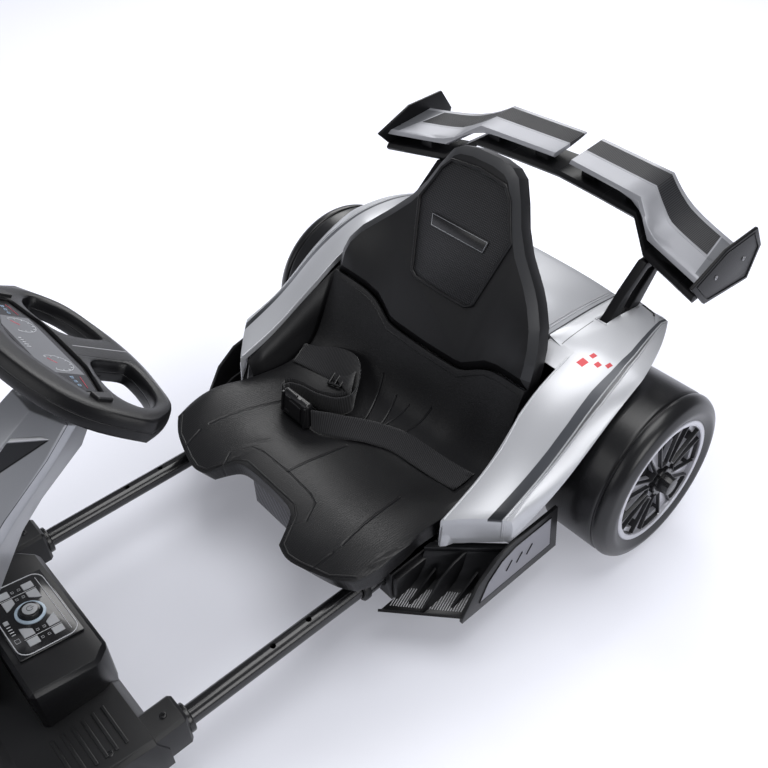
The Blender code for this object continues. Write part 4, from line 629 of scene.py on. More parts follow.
# Widths across the left shell: y, then x of the stripe's two edges and of the outer ridge
STRIPE_ROWS = [
    (0.110, 0.2640, 0.2765, 0.2820),
    (0.156, 0.2660, 0.2795, 0.2825),
    (0.212, 0.2666, 0.2788, 0.2822),
    (0.264, 0.2674, 0.2782, 0.2826),
    (0.298, 0.2670, 0.2780, 0.2832),
    (0.345, 0.2640, 0.2755, 0.2828),
    (0.384, 0.2642, 0.2728, 0.2795),
    (0.431, 0.2612, 0.2672, 0.2730),
    (0.470, 0.2545, 0.2595, 0.2645),
    (0.520, 0.2445, 0.2480, 0.2520),
]
# Red checks on the left shell's flat top: lowest and highest x, lowest and highest y
CHECKS = [
    (0.2242, 0.2345, 0.3598, 0.3714),
    (0.2300, 0.2366, 0.3790, 0.3872),
    (0.2425, 0.2495, 0.3736, 0.3815),
    (0.2537, 0.2591, 0.3838, 0.3925),
]


def graph(tree, value, rows):
    """Straight lines through (value, result) rows."""
    total = rows[0][1]
    for (low, first), (high, second) in zip(rows, rows[1:]):
        total = plus(tree, total, ramp(tree, value, low, high, second - first, kind="LINEAR"))
    return total


def from_middle(tree, place):
    """How far a place is from the kart's middle plane."""
    return calc(tree, "ABSOLUTE", xyz(tree, place)[0])


def across_stripe(tree, place, column):
    """How far outside one of the stripe's lines a place is, the same on both sides of the kart."""
    _, y, _ = xyz(tree, place)
    return minus(
        tree, from_middle(tree, place), graph(tree, y, [(row[0], row[column]) for row in STRIPE_ROWS])
    )


def fender_relief(tree, place):
    """Two ridges beside the stripe with a sunk line between them."""
    first = across_stripe(tree, place, 2)
    second = across_stripe(tree, place, 3)
    ridges = plus(
        tree, band(tree, first, 0.0004, 0.0018, 0.0006), band(tree, second, -0.0012, 0.0006, 0.0006)
    )
    return times(tree, ridges, 0.0009)


def fender_marks(tree, place):
    x, y, z = xyz(tree, place)
    side = from_middle(tree, place)
    inside = across_stripe(tree, place, 1)
    outside = across_stripe(tree, place, 2)
    upper = ramp(tree, z, 0.176, 0.180)
    stripe = times(tree, ramp(tree, inside, -0.0004, 0.0004), ramp(tree, outside, 0.0004, -0.0004), upper)
    ridge = across_stripe(tree, place, 3)
    # Painted shade in the sunk line between the two ridges
    sunk = times(tree, ramp(tree, outside, 0.0018, 0.0024), ramp(tree, ridge, -0.0012, -0.0018), upper)
    checks = None
    for low_x, high_x, low_y, high_y in CHECKS:
        leant = minus(tree, side, times(tree, minus(tree, y, low_y), 0.18))
        check = times(tree, band(tree, leant, low_x, high_x, 0.0001), band(tree, y, low_y, high_y, 0.0001))
        checks = check if checks is None else plus(tree, checks, check)
    checks = times(tree, checks, ramp(tree, x, 0.0, 0.01))
    # Painted shade of a gap: a thin dark line on the shell near its inner edge
    gap_painted_shade = times(tree, band(tree, side, 0.1903, 0.1915, 0.0002), band(tree, y, 0.370, 0.437, 0.0005))
    # The stripe is drawn lighter towards the rear
    stripe_rear_lighter = times(tree, stripe, ramp(tree, y, 0.165, 0.260))
    return [
        (stripe, (0.012, 0.014, 0.018)), (stripe_rear_lighter, (0.075, 0.080, 0.092)),
        (times(tree, sunk, 0.8), (0.02, 0.02, 0.022)), (checks, (0.42, 0.02, 0.03)),
        (times(tree, gap_painted_shade, 0.9), (0.01, 0.01, 0.011))
    ]


def silver_lacquer(
    name, colour=(0.50, 0.51, 0.54), roughness=0.36, relief=None, marks=None, metal=0.35, plain=None
):
    """Silver paint on plastic under a clear coat: fine metal flake and a slow drift in tone."""
    made, tree, shader = new_material(name)
    place = add_node(tree, "ShaderNodeTexCoord").outputs["Object"]
    flake = noise(tree, place, 2400.0, 1.0)
    slow = noise(tree, place, 5.0, 2.0)
    range_of_tone = {
        "Value": plus(tree, flake, slow), "From Min": 0.6, "From Max": 1.4, "To Min": 0.94, "To Max": 1.06
    }
    share = add_node(tree, "ShaderNodeMapRange", range_of_tone)
    edge = add_node(tree, "ShaderNodeNewGeometry")
    worn = ramp(tree, edge.outputs["Pointiness"], 0.58, 0.72, 0.3)
    layers = [(worn, (0.72, 0.72, 0.74))] + (marks(tree, place) if marks else [])
    painted(tree, shader, scaled(tree, (*colour,), share.outputs[0]), layers)
    shader.inputs["Metallic"].default_value = metal
    if plain:
        bare = times(tree, minus(tree, 1.0, plain(tree, place)), metal)
        tree.links.new(bare, shader.inputs["Metallic"])
    smear = spread(tree, slow, roughness - 0.05, roughness + 0.06)
    tree.links.new(smear, shader.inputs["Roughness"])
    shader.inputs["Coat Weight"].default_value = 0.25
    shader.inputs["Coat Roughness"].default_value = 0.16
    height = times(tree, flake, 0.000012)
    if relief:
        height = plus(tree, height, relief(tree, place))
    bumped(tree, shader, height)
    return made


def meshed(name, points, faces):
    """A piece with these points and faces."""
    mesh = bpy.data.meshes.new(name)
    mesh.from_pydata(points, [], faces)
    return linked(name, mesh)


def grid_faces(rows, columns):
    """The faces between rows of points, each row having the same number of them."""
    spots = [columns * i + j for i in range(rows - 1) for j in range(columns - 1)]
    return [(spot, spot + 1, spot + columns + 1, spot + columns) for spot in spots]


def ridged(plan, height, name, target, half):
    """A raised line with sloping sides on a finished piece, from a bead flattened along its height."""
    return surface_bead(name, target, plan, half, 1.0 - height / half, 0.008)


fender_silver = silver_lacquer("fender_silver", (0.57, 0.58, 0.61), relief=fender_relief, marks=fender_marks)
black_trim = moulded_plastic("black_trim", (0.010, 0.010, 0.011), 0.38)
for side, name in SIDES:
    fender = softened(f"fender_{name}", fender_silver, 26, smooth=29, edge=(0.0007, 2, 27))
    inner_ridge = [(side * (row[2] + 0.0012), row[0]) for row in STRIPE_ROWS[1:-1]]
    outer_ridge = [(side * row[3], row[0]) for row in STRIPE_ROWS[1:-1]]
    ridges = [ridged(line, 0.0007, f"ridge_{name}", fender, 0.0013) for line in (inner_ridge, outer_ridge)]
    detail(joined(f"fender_ridges_{name}", ridges), fender_silver, f"fender_{name}")
    lip_plan = [
        (side * x, y)
        for x, y in (
            (0.2235, 0.118), (0.2216, 0.182), (0.2196, 0.226), (0.2126, 0.266), (0.2111, 0.306),
            (0.2111, 0.360)
        )
    ]
    lip = surface_bead(f"fender_lip_{name}", fender, lip_plan, 0.0016, 0.3)
    detail(lip, fender_silver, f"fender_{name}")
    # Return flange of the shell behind the backrest, down to the deck's side
    flange_spots = [on_surface(fender, side * 0.2122, y, -0.0006) for y in (0.336, 0.346, 0.358, 0.3705)]
    flange_spots = [spot for spot in flange_spots if spot]
    flange_rows = [
        [
            spot, Vector((side * 0.192, spot.y, spot.z + 0.001)),
            Vector((side * 0.1705, spot.y, spot.z - 0.001))
        ]
        for spot in flange_spots
    ]
    corners = [spot for row in flange_rows for spot in row]
    flange = meshed(f"fender_flange_{name}", corners, grid_faces(len(flange_rows), 3))
    finish_with(flange, "SOLIDIFY", thickness=0.0020, offset=0.0)
    smooth_faces(flange, 40)
    detail(flange, fender_silver, f"fender_{name}")
    # Black trim round the shell's rear corner
    trim_plan = [
        (side * x, y)
        for x, y in ((0.2335, 0.5225), (0.2300, 0.5280), (0.2000, 0.5285), (0.1760, 0.5285))
    ]
    trim = surface_bead(f"fender_trim_{name}", fender, trim_plan, 0.0018, 0.3, 0.006)
    detail(trim, black_trim, f"fender_{name}")
    # Raised rim round the slot that the wing's stay goes down into
    rim_spots = []
    for x, y in ((0.1905, 0.4425), (0.2095, 0.4425), (0.2095, 0.5285), (0.1905, 0.5285)):
        spot = on_surface(fender, side * x, min(y, 0.5275), 0.0002)
        if spot:
            rim_spots.append(spot)
    if len(rim_spots) == 4:
        detail(bead(f"stay_slot_rim_{name}", rim_spots, 0.0012, closed=True), fender_silver, f"fender_{name}")


# Rear deck: the same lacquered moulding between the two side bodies, with a raised double line
# along each side and painted shade for the gap to the shells.

def deck_relief(tree, place):
    side = from_middle(tree, place)
    lines = plus(tree, band(tree, side, 0.1570, 0.1585, 0.0005), band(tree, side, 0.1605, 0.1620, 0.0005))
    return times(tree, lines, 0.0008)


def deck_gap_painted_shade(tree, place):
    # Painted shade of the gap: the deck's strip beyond 167 mm from the middle is drawn dark
    return [(times(tree, ramp(tree, from_middle(tree, place), 0.1664, 0.1670), 0.85), (0.02, 0.02, 0.022))]


deck_silver = silver_lacquer("deck_silver", relief=deck_relief, marks=deck_gap_painted_shade)
deck = softened("rear_deck", deck_silver, 34, edge=(0.0006, 2, 40))
for side, name in SIDES:
    lines = [
        surface_bead(f"line_{name}", deck, [(side * x, 0.372), (side * x, 0.522)], 0.0011, 0.5, 0.01)
        for x in (0.1572, 0.1606)
    ]
    detail(joined(f"deck_lines_{name}", lines), deck_silver, "rear_deck")


# Inner side panels and the finned rear panel: plain black polypropylene with a visible grain.

side_plastic = moulded_plastic("side_plastic", (0.010, 0.010, 0.011), 0.42, grain=0.0007, depth=0.00006)
for name in ("left", "right"):
    softened(f"side_panel_{name}", side_plastic, 40, 1)
tidied("rear_panel", side_plastic, 0.0009)


def pan_screw(place, direction, radius=0.0034):
    """A pan-head screw with a cross recess, its head standing on the place and facing the direction."""
    nothing_selected()
    bpy.ops.mesh.primitive_cylinder_add(
        vertices=24, radius=radius, depth=radius * 0.7, location=(0, 0, radius * 0.25)
    )
    head = bpy.context.object
    rounded_edges(head, radius * 0.28, 3, 50)
    for turn in (0, math.pi / 2):
        bpy.ops.mesh.primitive_cube_add(
            size=1.0, location=(0, 0, radius * 0.6), rotation=(0, 0, turn),
            scale=(radius * 1.1, radius * 0.24, radius * 0.6)
        )
        slot = bpy.context.object
        finish_with(head, "BOOLEAN", operation="DIFFERENCE", object=slot, solver="EXACT")
        bpy.data.objects.remove(slot, do_unlink=True)
    look = Vector(direction).to_track_quat("Z", "Y").to_matrix().to_4x4()
    head.data.transform(Matrix.Translation(place) @ look)
    head.location = (0, 0, 0)
    smooth_faces(head, 40)
    return head


def primitive_placed(piece, matrix=None):
    """A new primitive's own place put into its mesh, then moved by the matrix."""
    only_selected(piece)
    bpy.ops.object.transform_apply(location=True, rotation=True, scale=True)
    if matrix is not None:
        piece.data.transform(matrix)
    return piece


zinc = smooth_finish("zinc_screw", (0.30, 0.30, 0.31), 0.32, metal=0.9)
rear_y = 0.5060
panel_screws = [pan_screw((x, rear_y, z), (0, 1, 0), 0.004) for x in (-0.185, 0.185) for z in (0.082, 0.268)]
detail(joined("rear_panel_screws", panel_screws), zinc, "rear_panel")


# Rear wing: two lacquered blades on a satin beam. Behind the silver front of each blade runs a
# band of fine carbon-look ribs, then a thin silver lip; black end plates close the tips.

# A blade in plan: distance from the middle, and y of its front and rear edges
WING_ROWS = [
    (0.0155, 0.576, 0.655),
    (0.1530, 0.558, 0.642),
    (0.1960, 0.528, 0.624),
    (0.2980, 0.495, 0.592),
]
# Phase of the fine ribs across a blade, in radians per metre
BLADE_RIB_PHASE = 2300.0


def chord_share(tree, place):
    """From 0 at the blade's front edge to 1 at its rear edge, and the distance from the middle."""
    _, y, _ = xyz(tree, place)
    side = from_middle(tree, place)
    front = graph(tree, side, [(row[0], row[1]) for row in WING_ROWS])
    rear = graph(tree, side, [(row[0], row[2]) for row in WING_ROWS])
    share = calc(tree, "DIVIDE", minus(tree, y, front), minus(tree, rear, front))
    return share, side


def carbon_band(tree, place):
    share, side = chord_share(tree, place)
    patch = ramp(tree, plus(tree, side, times(tree, share, 0.02)), 0.2855, 0.2845)
    return times(tree, band(tree, share, 0.50, 0.93, 0.004), patch)


def rib_wave(tree, place):
    _, side = chord_share(tree, place)
    return times(tree, plus(tree, calc(tree, "SINE", times(tree, side, BLADE_RIB_PHASE)), 1.0), 0.5)


def blade_relief(tree, place):
    share, _ = chord_share(tree, place)
    ribs = times(tree, rib_wave(tree, place), carbon_band(tree, place), 0.00022)
    return plus(tree, ribs, times(tree, band(tree, share, 0.455, 0.485, 0.005), 0.0006))


def blade_marks(tree, place):
    share, side = chord_share(tree, place)
    print_mask = carbon_band(tree, place)
    shade = add_node(
        tree, "ShaderNodeMix",
        {"Factor": rib_wave(tree, place), 6: (0.006, 0.006, 0.007, 1.0), 7: (0.034, 0.035, 0.040, 1.0)},
        data_type="RGBA"
    )
    tip = times(
        tree, ramp(tree, plus(tree, side, times(tree, share, 0.02)), 0.2870, 0.2880),
        band(tree, share, 0.10, 0.93, 0.01)
    )
    return [(print_mask, shade.outputs[2]), (times(tree, tip, 0.8), (0.10, 0.105, 0.115))]


wing_silver = silver_lacquer(
    "wing_silver", (0.31, 0.315, 0.34), 0.42, blade_relief, blade_marks, 0.4, carbon_band
)
wing_shader = wing_silver.node_tree.nodes["Principled BSDF"]
wing_shader.inputs["Coat Weight"].default_value = 0.0
wing_shader.inputs["Specular IOR Level"].default_value = 0.16
for name in ("left", "right"):
    softened(f"wing_blade_{name}", wing_silver, 30, smooth=40, edge=(0.0012, 3, 35))


def beam_relief(tree, place):
    """A fine line across the beam every 90 mm, where its halves are clipped."""
    x, _, _ = xyz(tree, place)
    return times(tree, band(tree, calc(tree, "PINGPONG", x, 0.045), 0.0, 0.0006), -0.0004)


beam_plastic = moulded_plastic("beam_plastic", (0.010, 0.010, 0.011), 0.34, shine=0.20, relief=beam_relief)
tidied("wing_beam", beam_plastic, 0.0012, 3)

wing_black = moulded_plastic("wing_black", (0.007, 0.007, 0.008), 0.36, shine=0.15)
for side, name in SIDES:
    tidied(f"wing_endplate_{name}", wing_black, 0.0014, 3)
    tidied(f"wing_stay_{name}", wing_black, 0.0016, 3)
    outer_x = side * 0.3035
    border = [
        (outer_x, y + REAR_AXLE_Y, z)
        for y, z in (
            (0.072, 0.3985), (0.132, 0.4235), (0.199, 0.4260), (0.221, 0.3950), (0.209, 0.3510),
            (0.109, 0.3610)
        )
    ]
    detail(bead(f"endplate_border_{name}", border, 0.0010, closed=True), wing_black, f"wing_endplate_{name}")
    screws = [
        pan_screw((outer_x, y + REAR_AXLE_Y, z), (side, 0, 0), 0.0034)
        for y, z in ((0.118, 0.392), (0.185, 0.392))
    ]
    detail(joined(f"endplate_screws_{name}", screws), zinc, f"wing_endplate_{name}")


# Wheels: a hard slick tyre of smooth black plastic, made for sliding, on a silver moulded rim.
# Each window between the spokes is a black pocket, and a notched black cap covers the axle's end.

def spun(name, profile, steps):
    """A ring or a disc turned about Z from a closed or open (radius, height) profile."""
    nothing_selected()
    bpy.ops.mesh.primitive_plane_add(size=0.01)
    piece = bpy.context.object
    piece.name = name
    bpy.ops.object.mode_set(mode="EDIT")
    bpy.ops.mesh.select_mode(type="VERT")
    bpy.ops.mesh.select_all(action="SELECT")
    bpy.ops.mesh.merge(type="CENTER")
    first = Vector((profile[0][0], 0.0, profile[0][1]))
    bpy.ops.transform.translate(value=first)
    last = first
    for radius, height in profile[1:]:
        here = Vector((radius, 0.0, height))
        bpy.ops.mesh.extrude_region_move(TRANSFORM_OT_translate={"value": here - last})
        last = here
    bpy.ops.mesh.select_all(action="SELECT")
    bpy.ops.mesh.spin(steps=steps, angle=2 * math.pi, center=(0, 0, 0), axis=(0, 0, 1))
    bpy.ops.mesh.select_all(action="SELECT")
    bpy.ops.mesh.remove_doubles(threshold=1e-5)
    bpy.ops.mesh.normals_make_consistent(inside=False)
    bpy.ops.object.mode_set(mode="OBJECT")
    return piece


def eased(profile, corner, steps=4):
    """An open profile with each inner corner rounded by up to the given length."""
    result = [profile[0]]
    for before, here, after in zip(profile, profile[1:], profile[2:]):
        a, b, c = Vector(before), Vector(here), Vector(after)
        back = min(corner, (a - b).length * 0.45)
        ahead = min(corner, (c - b).length * 0.45)
        start = b + (a - b).normalized() * back
        end = b + (c - b).normalized() * ahead
        for i in range(steps + 1):
            t = i / steps
            result.append(tuple(start * (1 - t) ** 2 + b * 2 * t * (1 - t) + end * t ** 2))
    return result + [profile[-1]]


def turned_ring(name, profile, corner, corner_steps=4, steps=96):
    """A ring turned about Z from a closed profile with rounded corners."""
    return spun(name, eased(profile, corner, corner_steps) + [profile[0]], steps)


def pocket_box(inner, outer, top, depth):
    """An open box between two (radius, half-width) ends, as let into a window between two spokes."""
    corners = [
        (inner[0], -inner[1], top), (outer[0], -outer[1], top), (outer[0], outer[1], top),
        (inner[0], inner[1], top)
    ]
    piece = meshed("pocket_box", corners, [(0, 1, 2, 3)])
    only_selected(piece)
    bpy.ops.object.mode_set(mode="EDIT")
    bpy.ops.mesh.select_mode(type="FACE")
    bpy.ops.mesh.select_all(action="SELECT")
    bpy.ops.mesh.extrude_region_move(TRANSFORM_OT_translate={"value": (0, 0, -depth)})
    bpy.ops.mesh.select_all(action="SELECT")
    bpy.ops.mesh.normals_make_consistent(inside=False)
    bpy.ops.mesh.select_all(action="DESELECT")
    bpy.ops.object.mode_set(mode="OBJECT")
    for side in piece.data.polygons:
        side.select = side.normal.z > 0.9
    bpy.ops.object.mode_set(mode="EDIT")
    bpy.ops.mesh.inset(thickness=0.0022)
    bpy.ops.mesh.extrude_region_move(TRANSFORM_OT_translate={"value": (0, 0, 0.0022 - depth)})
    bpy.ops.object.mode_set(mode="OBJECT")
    rounded_edges(piece, 0.0005, 2, 40)
    return piece


# Phase of the rings round the tread along the wheel's axle, in radians per metre
TYRE_RING_PHASE = 1900.0


def tyre_relief(tree, place):
    """Faint moulding rings round the tread, from the wheel's own x."""
    x, _, _ = xyz(tree, place)
    return times(tree, calc(tree, "SINE", times(tree, x, TYRE_RING_PHASE)), 0.000012)


def tyre_marks(tree, place):
    """Dust and light scuffs where the tyre slides."""
    scuff = add_node(
        tree, "ShaderNodeTexNoise", {"Vector": place, "Scale": 38.0, "Detail": 5.0, "Roughness": 0.7}
    )
    return [(ramp(tree, scuff.outputs["Fac"], 0.58, 0.80, 0.25), (0.040, 0.040, 0.042))]


slick_plastic = moulded_plastic(
    "slick_plastic", (0.007, 0.007, 0.008), 0.30, grain=0.0007, depth=0.00002, shine=0.5,
    relief=tyre_relief, marks=tyre_marks
)
rim_silver = silver_lacquer("rim_silver", (0.62, 0.62, 0.67), 0.30)
pocket_black = moulded_plastic("pocket_black", (0.014, 0.014, 0.016), 0.34, shine=0.5)
cap_black = moulded_plastic("cap_black", (0.008, 0.008, 0.009), 0.26, shine=0.5)
# Wheel, side, centre, tyre radius, width, rim radius, spokes, hub radius, cap radius
WHEELS = [
    ("rear_left", 1, (0.304, 0.415, 0.1315), 0.1315, 0.120, 0.098, 8, 0.017, 0.0220),
    ("rear_right", -1, (-0.304, 0.415, 0.1315), 0.1315, 0.120, 0.098, 8, 0.017, 0.0220),
    ("front_left", 1, (0.293, -0.505, 0.1150), 0.1150, 0.070, 0.076, 6, 0.014, 0.0180),
    ("front_right", -1, (-0.293, -0.505, 0.1150), 0.1150, 0.070, 0.076, 6, 0.014, 0.0180),
]
for name, side, centre, radius, width, rim_radius, spokes, hub_radius, cap_radius in WHEELS:
    outward = placed(centre, (side * 90, "Y"))
    half = width / 2
    tyre_profile = [
        (rim_radius + 0.0003, half - 0.0060),
        (radius - 0.0200, half),
        (radius - 0.0054, half - 0.0060),
        (radius, half - 0.0160),
        (radius, half - 0.0240),
        (radius - 0.0030, half - 0.0248),
        (radius - 0.0030, half - 0.0272),
        (radius, half - 0.0280),
        (radius, -half + 0.0120),
        (radius - 0.0120, -half),
        (rim_radius + 0.0003, -half),
    ]
    tyre = turned_ring(f"{name}_tyre_finished", tyre_profile, 0.0045)
    tyre.data.transform(outward)
    smooth_faces(tyre, 50)
    fitted(tyre, slick_plastic, f"{name}_tyre")

    tidied(f"{name}_rim", rim_silver, 0.0009, 2, 35, 32)
    ring_profile = [
        (rim_radius - 0.0080, half - 0.0095), (rim_radius - 0.0072, half - 0.0052),
        (rim_radius - 0.0010, half - 0.0046), (rim_radius + 0.0010, half - 0.0072),
        (rim_radius - 0.0008, half - 0.0100)
    ]
    ring = turned_ring(f"{name}_ring", ring_profile, 0.0012, 3)
    face = half - 0.014
    boxes = []
    inner, outer = hub_radius + 0.011, rim_radius - 0.0078
    half_pitch = math.tan(math.pi / spokes)
    for spoke in range(spokes):
        box = pocket_box(
            (inner, inner * half_pitch * 0.62), (outer, outer * half_pitch * 0.66), face + 0.0058, 0.0165
        )
        box.data.transform(Matrix.Rotation(2 * math.pi * spoke / spokes, 4, "Z"))
        boxes.append(box)
    pocket = joined(f"{name}_pockets", boxes)
    nothing_selected()
    bpy.ops.mesh.primitive_cylinder_add(
        vertices=48, radius=cap_radius, depth=0.012, location=(0, 0, half - 0.011)
    )
    cap = primitive_placed(bpy.context.object)
    rounded_edges(cap, 0.0018, 3, 50)
    for notch in range(10):
        angle = 2 * math.pi * notch / 10
        nothing_selected()
        bpy.ops.mesh.primitive_cylinder_add(
            vertices=12, radius=cap_radius * 0.11, depth=0.020,
            location=(cap_radius * math.cos(angle), cap_radius * math.sin(angle), half - 0.009)
        )
        cutter = bpy.context.object
        finish_with(cap, "BOOLEAN", operation="DIFFERENCE", object=cutter, solver="EXACT")
        bpy.data.objects.remove(cutter, do_unlink=True)
    pieces = [(ring, rim_silver), (pocket, pocket_black), (cap, cap_black)]
    for piece, surface in pieces:
        piece.data.transform(outward)
        smooth_faces(piece, 40)
        detail(piece, surface, f"{name}_rim")


# Rear axle with its end nuts, and the two gear cases with their motors: zinc steel and black nylon.

AXLE_NUT_X = 0.345
zinc_bar = moulded_plastic("zinc_bar", (0.34, 0.34, 0.35), 0.33, grain=0.0009, depth=0.00002, metal=0.9)
axle = tidied("rear_axle", zinc_bar, 0.0006)
# The nuts on the axle's ends are black
axle.data.materials.append(cap_black)
for face in axle.data.polygons:
    if abs(face.center.x) > AXLE_NUT_X:
        face.material_index = 1
gear_nylon = moulded_plastic("gear_nylon", (0.020, 0.020, 0.021), 0.45, grain=0.0005)
for side, name in SIDES:
    tidied(f"gearbox_{name}", gear_nylon, 0.0010)
    outer = side * 0.2367
    screws = [
        pan_screw(
            (outer - side * 0.0002, REAR_AXLE_Y + 0.043 * math.cos(a), 0.1315 + 0.043 * math.sin(a)),
            (side, 0, 0), 0.0030
        )
        for a in (0.6, 1.7, 2.7, 4.5, 5.5)
    ]
    detail(joined(f"gearbox_screws_{name}", screws), zinc, f"gearbox_{name}")


# Lap belt: two lengths of 38 mm ribbed black webbing. The right one turns back through a ladder
# slide in a standing loop to the side-release buckle, which stands on its edge.

def webbing(name):
    """Woven webbing: ribs across the strap, which runs mostly along X, each crossed by the weft."""
    made, tree, shader = new_material(name)
    place = add_node(tree, "ShaderNodeTexCoord").outputs["Object"]
    x, y, z = xyz(tree, place)
    run = plus(tree, x, times(tree, y, 0.45))
    across = plus(tree, z, times(tree, y, 0.8))
    ribs = calc(tree, "SINE", times(tree, run, 2 * math.pi / 0.0030))
    weft = calc(tree, "SINE", times(tree, across, 2 * math.pi / 0.0016))
    cloth = plus(tree, times(tree, ribs, 0.00016), times(tree, weft, ribs, 0.00005))
    fibre = noise(tree, place, 1500.0, 2.0)
    shade = ramp(tree, ribs, -1.0, 1.0)
    fuzz = ramp(tree, fibre, 0.60, 0.80, 0.4)
    layers = [(shade, (0.028, 0.028, 0.031)), (fuzz, (0.045, 0.045, 0.048))]
    painted(tree, shader, (0.006, 0.006, 0.007, 1.0), layers)
    tree.links.new(spread(tree, fibre, 0.70, 0.88), shader.inputs["Roughness"])
    shader.inputs["Sheen Weight"].default_value = 0.25
    shader.inputs["Specular IOR Level"].default_value = 0.25
    bumped(tree, shader, plus(tree, cloth, times(tree, fibre, 0.00003)))
    return made


belt_cloth = webbing("belt_webbing")
for name in ("right", "left"):
    softened(f"belt_strap_{name}", belt_cloth, 60)


def standing_band(name, route, width, thickness):
    """A band of webbing on its edge or lying: rows of its lower edge (x, y, z) and how far it stands up."""
    rows = []
    for start, end in zip(route, route[1:]):
        rows += [Vector(start).lerp(Vector(end), i / 4) for i in range(4)]
    rows.append(Vector(route[-1]))
    points = []
    for i, (x, y, z, stand) in enumerate(rows):
        ahead, behind = rows[min(i + 1, len(rows) - 1)], rows[max(i - 1, 0)]
        run = Vector((ahead[0] - behind[0], ahead[1] - behind[1], 0)).normalized()
        across = Vector((0, 0, 1)).cross(run)
        turn = math.radians(stand)
        points += [
            Vector((x, y, z)) + (across * math.cos(turn) + Vector((0, 0, math.sin(turn)))) * width * j / 4
            for j in range(5)
        ]
    piece = meshed(name, points, grid_faces(len(rows), 5))
    edit_whole(piece)
    bpy.ops.mesh.normals_make_consistent(inside=False)
    bpy.ops.object.mode_set(mode="OBJECT")
    finish_with(piece, "SOLIDIFY", thickness=thickness, offset=0.0)
    finish_with(piece, "SUBSURF", levels=1, render_levels=1)
    smooth_faces(piece, 60)
    return piece


def block(size, place, matrix, width, segments=2):
    """A box with eased edges."""
    nothing_selected()
    bpy.ops.mesh.primitive_cube_add(size=1.0, scale=size, location=place)
    made = primitive_placed(bpy.context.object, matrix)
    rounded_edges(made, width, segments, 40)
    return made


# Inner layer of the loop, from the slide round behind the buckle, 4 mm inside the outer one
INNER_LOOP = [
    (-0.120, 0.218, 0.1330, 20),
    (-0.098, 0.216, 0.1275, 50),
    (-0.076, 0.210, 0.1270, 78),
    (-0.062, 0.194, 0.1255, 85),
    (-0.069, 0.178, 0.1260, 85),
    (-0.090, 0.166, 0.1275, 82),
    (-0.116, 0.158, 0.1320, 82),
    (-0.134, 0.147, 0.1365, 82),
    (-0.137, 0.132, 0.1385, 84),
    (-0.128, 0.121, 0.1390, 86),
]
fold = standing_band("belt_fold", INNER_LOOP, 0.038, 0.0016)
detail(fold, belt_cloth, "belt_strap_right")

buckle_nylon = moulded_plastic("buckle_nylon", (0.008, 0.008, 0.009), 0.30, shine=0.5)
tidied("belt_buckle", buckle_nylon, 0.0012, 3)
low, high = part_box("belt_buckle")
middle = (Vector(low) + Vector(high)) / 2
buckle_frame = placed(middle, (2.4, "Y"), (-8, "X"))
# Shield, two prong windows and end grips on the buckle's front face, and the two sprung prongs on top
buckle_bits = []
for x, z, sx, sz, out in (
    (0.004, 0.0, 0.026, 0.026, 0.0022),
    (-0.026, 0.0, 0.004, 0.036, 0.0020),
    (0.026, 0.0, 0.004, 0.036, 0.0020),
    (-0.014, 0.013, 0.012, 0.006, 0.0016),
    (-0.014, -0.013, 0.012, 0.006, 0.0016),
):
    buckle_bits.append(block((sx, out * 2, sz), (x, -0.0070, z), buckle_frame, 0.0008))
for x, length in ((-0.012, 0.026), (0.018, 0.018)):
    buckle_bits.append(block((length, 0.0050, 0.0040), (x, -0.0015, 0.0212), buckle_frame, 0.0018, 3))
detail(joined("buckle_shield", buckle_bits), buckle_nylon, "belt_buckle")

# Ladder slide where the right strap turns back: a frame with a middle bar
slide_turn = placed((-0.1215, 0.2300, 0.1362), (20.556, "Z"), (14, "X"))
SLIDE_BARS = [
    (-0.010, 0, 0.004, 0.048),
    (0.0, 0, 0.0035, 0.048),
    (0.010, 0, 0.004, 0.048),
    (0, -0.0225, 0.024, 0.004),
    (0, 0.0225, 0.024, 0.004),
]
slide_bars = [block((sx, sy, 0.0034), (x, y, 0), slide_turn, 0.0010) for x, y, sx, sy in SLIDE_BARS]
detail(joined("belt_slide", slide_bars), buckle_nylon, "belt_strap_right")


# Side steps: black moulded trays under the side bodies, with a grille of fine slanted bars over
# their front half, ribs up to the ledge, and a lavender-grey inset on the outer wall.

step_plastic = moulded_plastic("step_plastic", (0.008, 0.008, 0.009), 0.36, grain=0.0005, shine=0.34)
grille_grey = moulded_plastic("grille_grey", (0.34, 0.34, 0.36), 0.34, shine=0.5)
# Bars of the grille on a tray: how many, their pitch, how far they lean across, and between which
# distances from the middle. Their rows are the tray's section at its inner edge, as y and z, and its
# slope out and up
GRILLE_BARS = 38
GRILLE_PITCH = 0.0026
GRILLE_LEAN = 0.0120
GRILLE_X = (0.2040, 0.2900)
GRILLE_ROWS = [(-0.3925, 0.0622), (-0.3520, 0.0661), (-0.3445, 0.0704)]
TRAY_INNER_X = 0.2033
TRAY_SKEW = 0.86
TRAY_RISE = 2.24
# Outline of the grey inset in the tray's outer wall, as y and z
STEP_INSET = [
    (-0.300, 0.074), (-0.286, 0.104), (-0.262, 0.126), (-0.236, 0.1345), (-0.166, 0.1345), (-0.160, 0.074)
]
inset_grey = moulded_plastic("inset_grey", (0.30, 0.30, 0.34), 0.35, shine=0.5)


def thickened(piece, shift):
    """A flat piece pushed along into a closed body."""
    edit_whole(piece)
    bpy.ops.mesh.extrude_region_move(TRANSFORM_OT_translate={"value": shift})
    bpy.ops.mesh.select_all(action="SELECT")
    bpy.ops.mesh.normals_make_consistent(inside=False)
    bpy.ops.object.mode_set(mode="OBJECT")


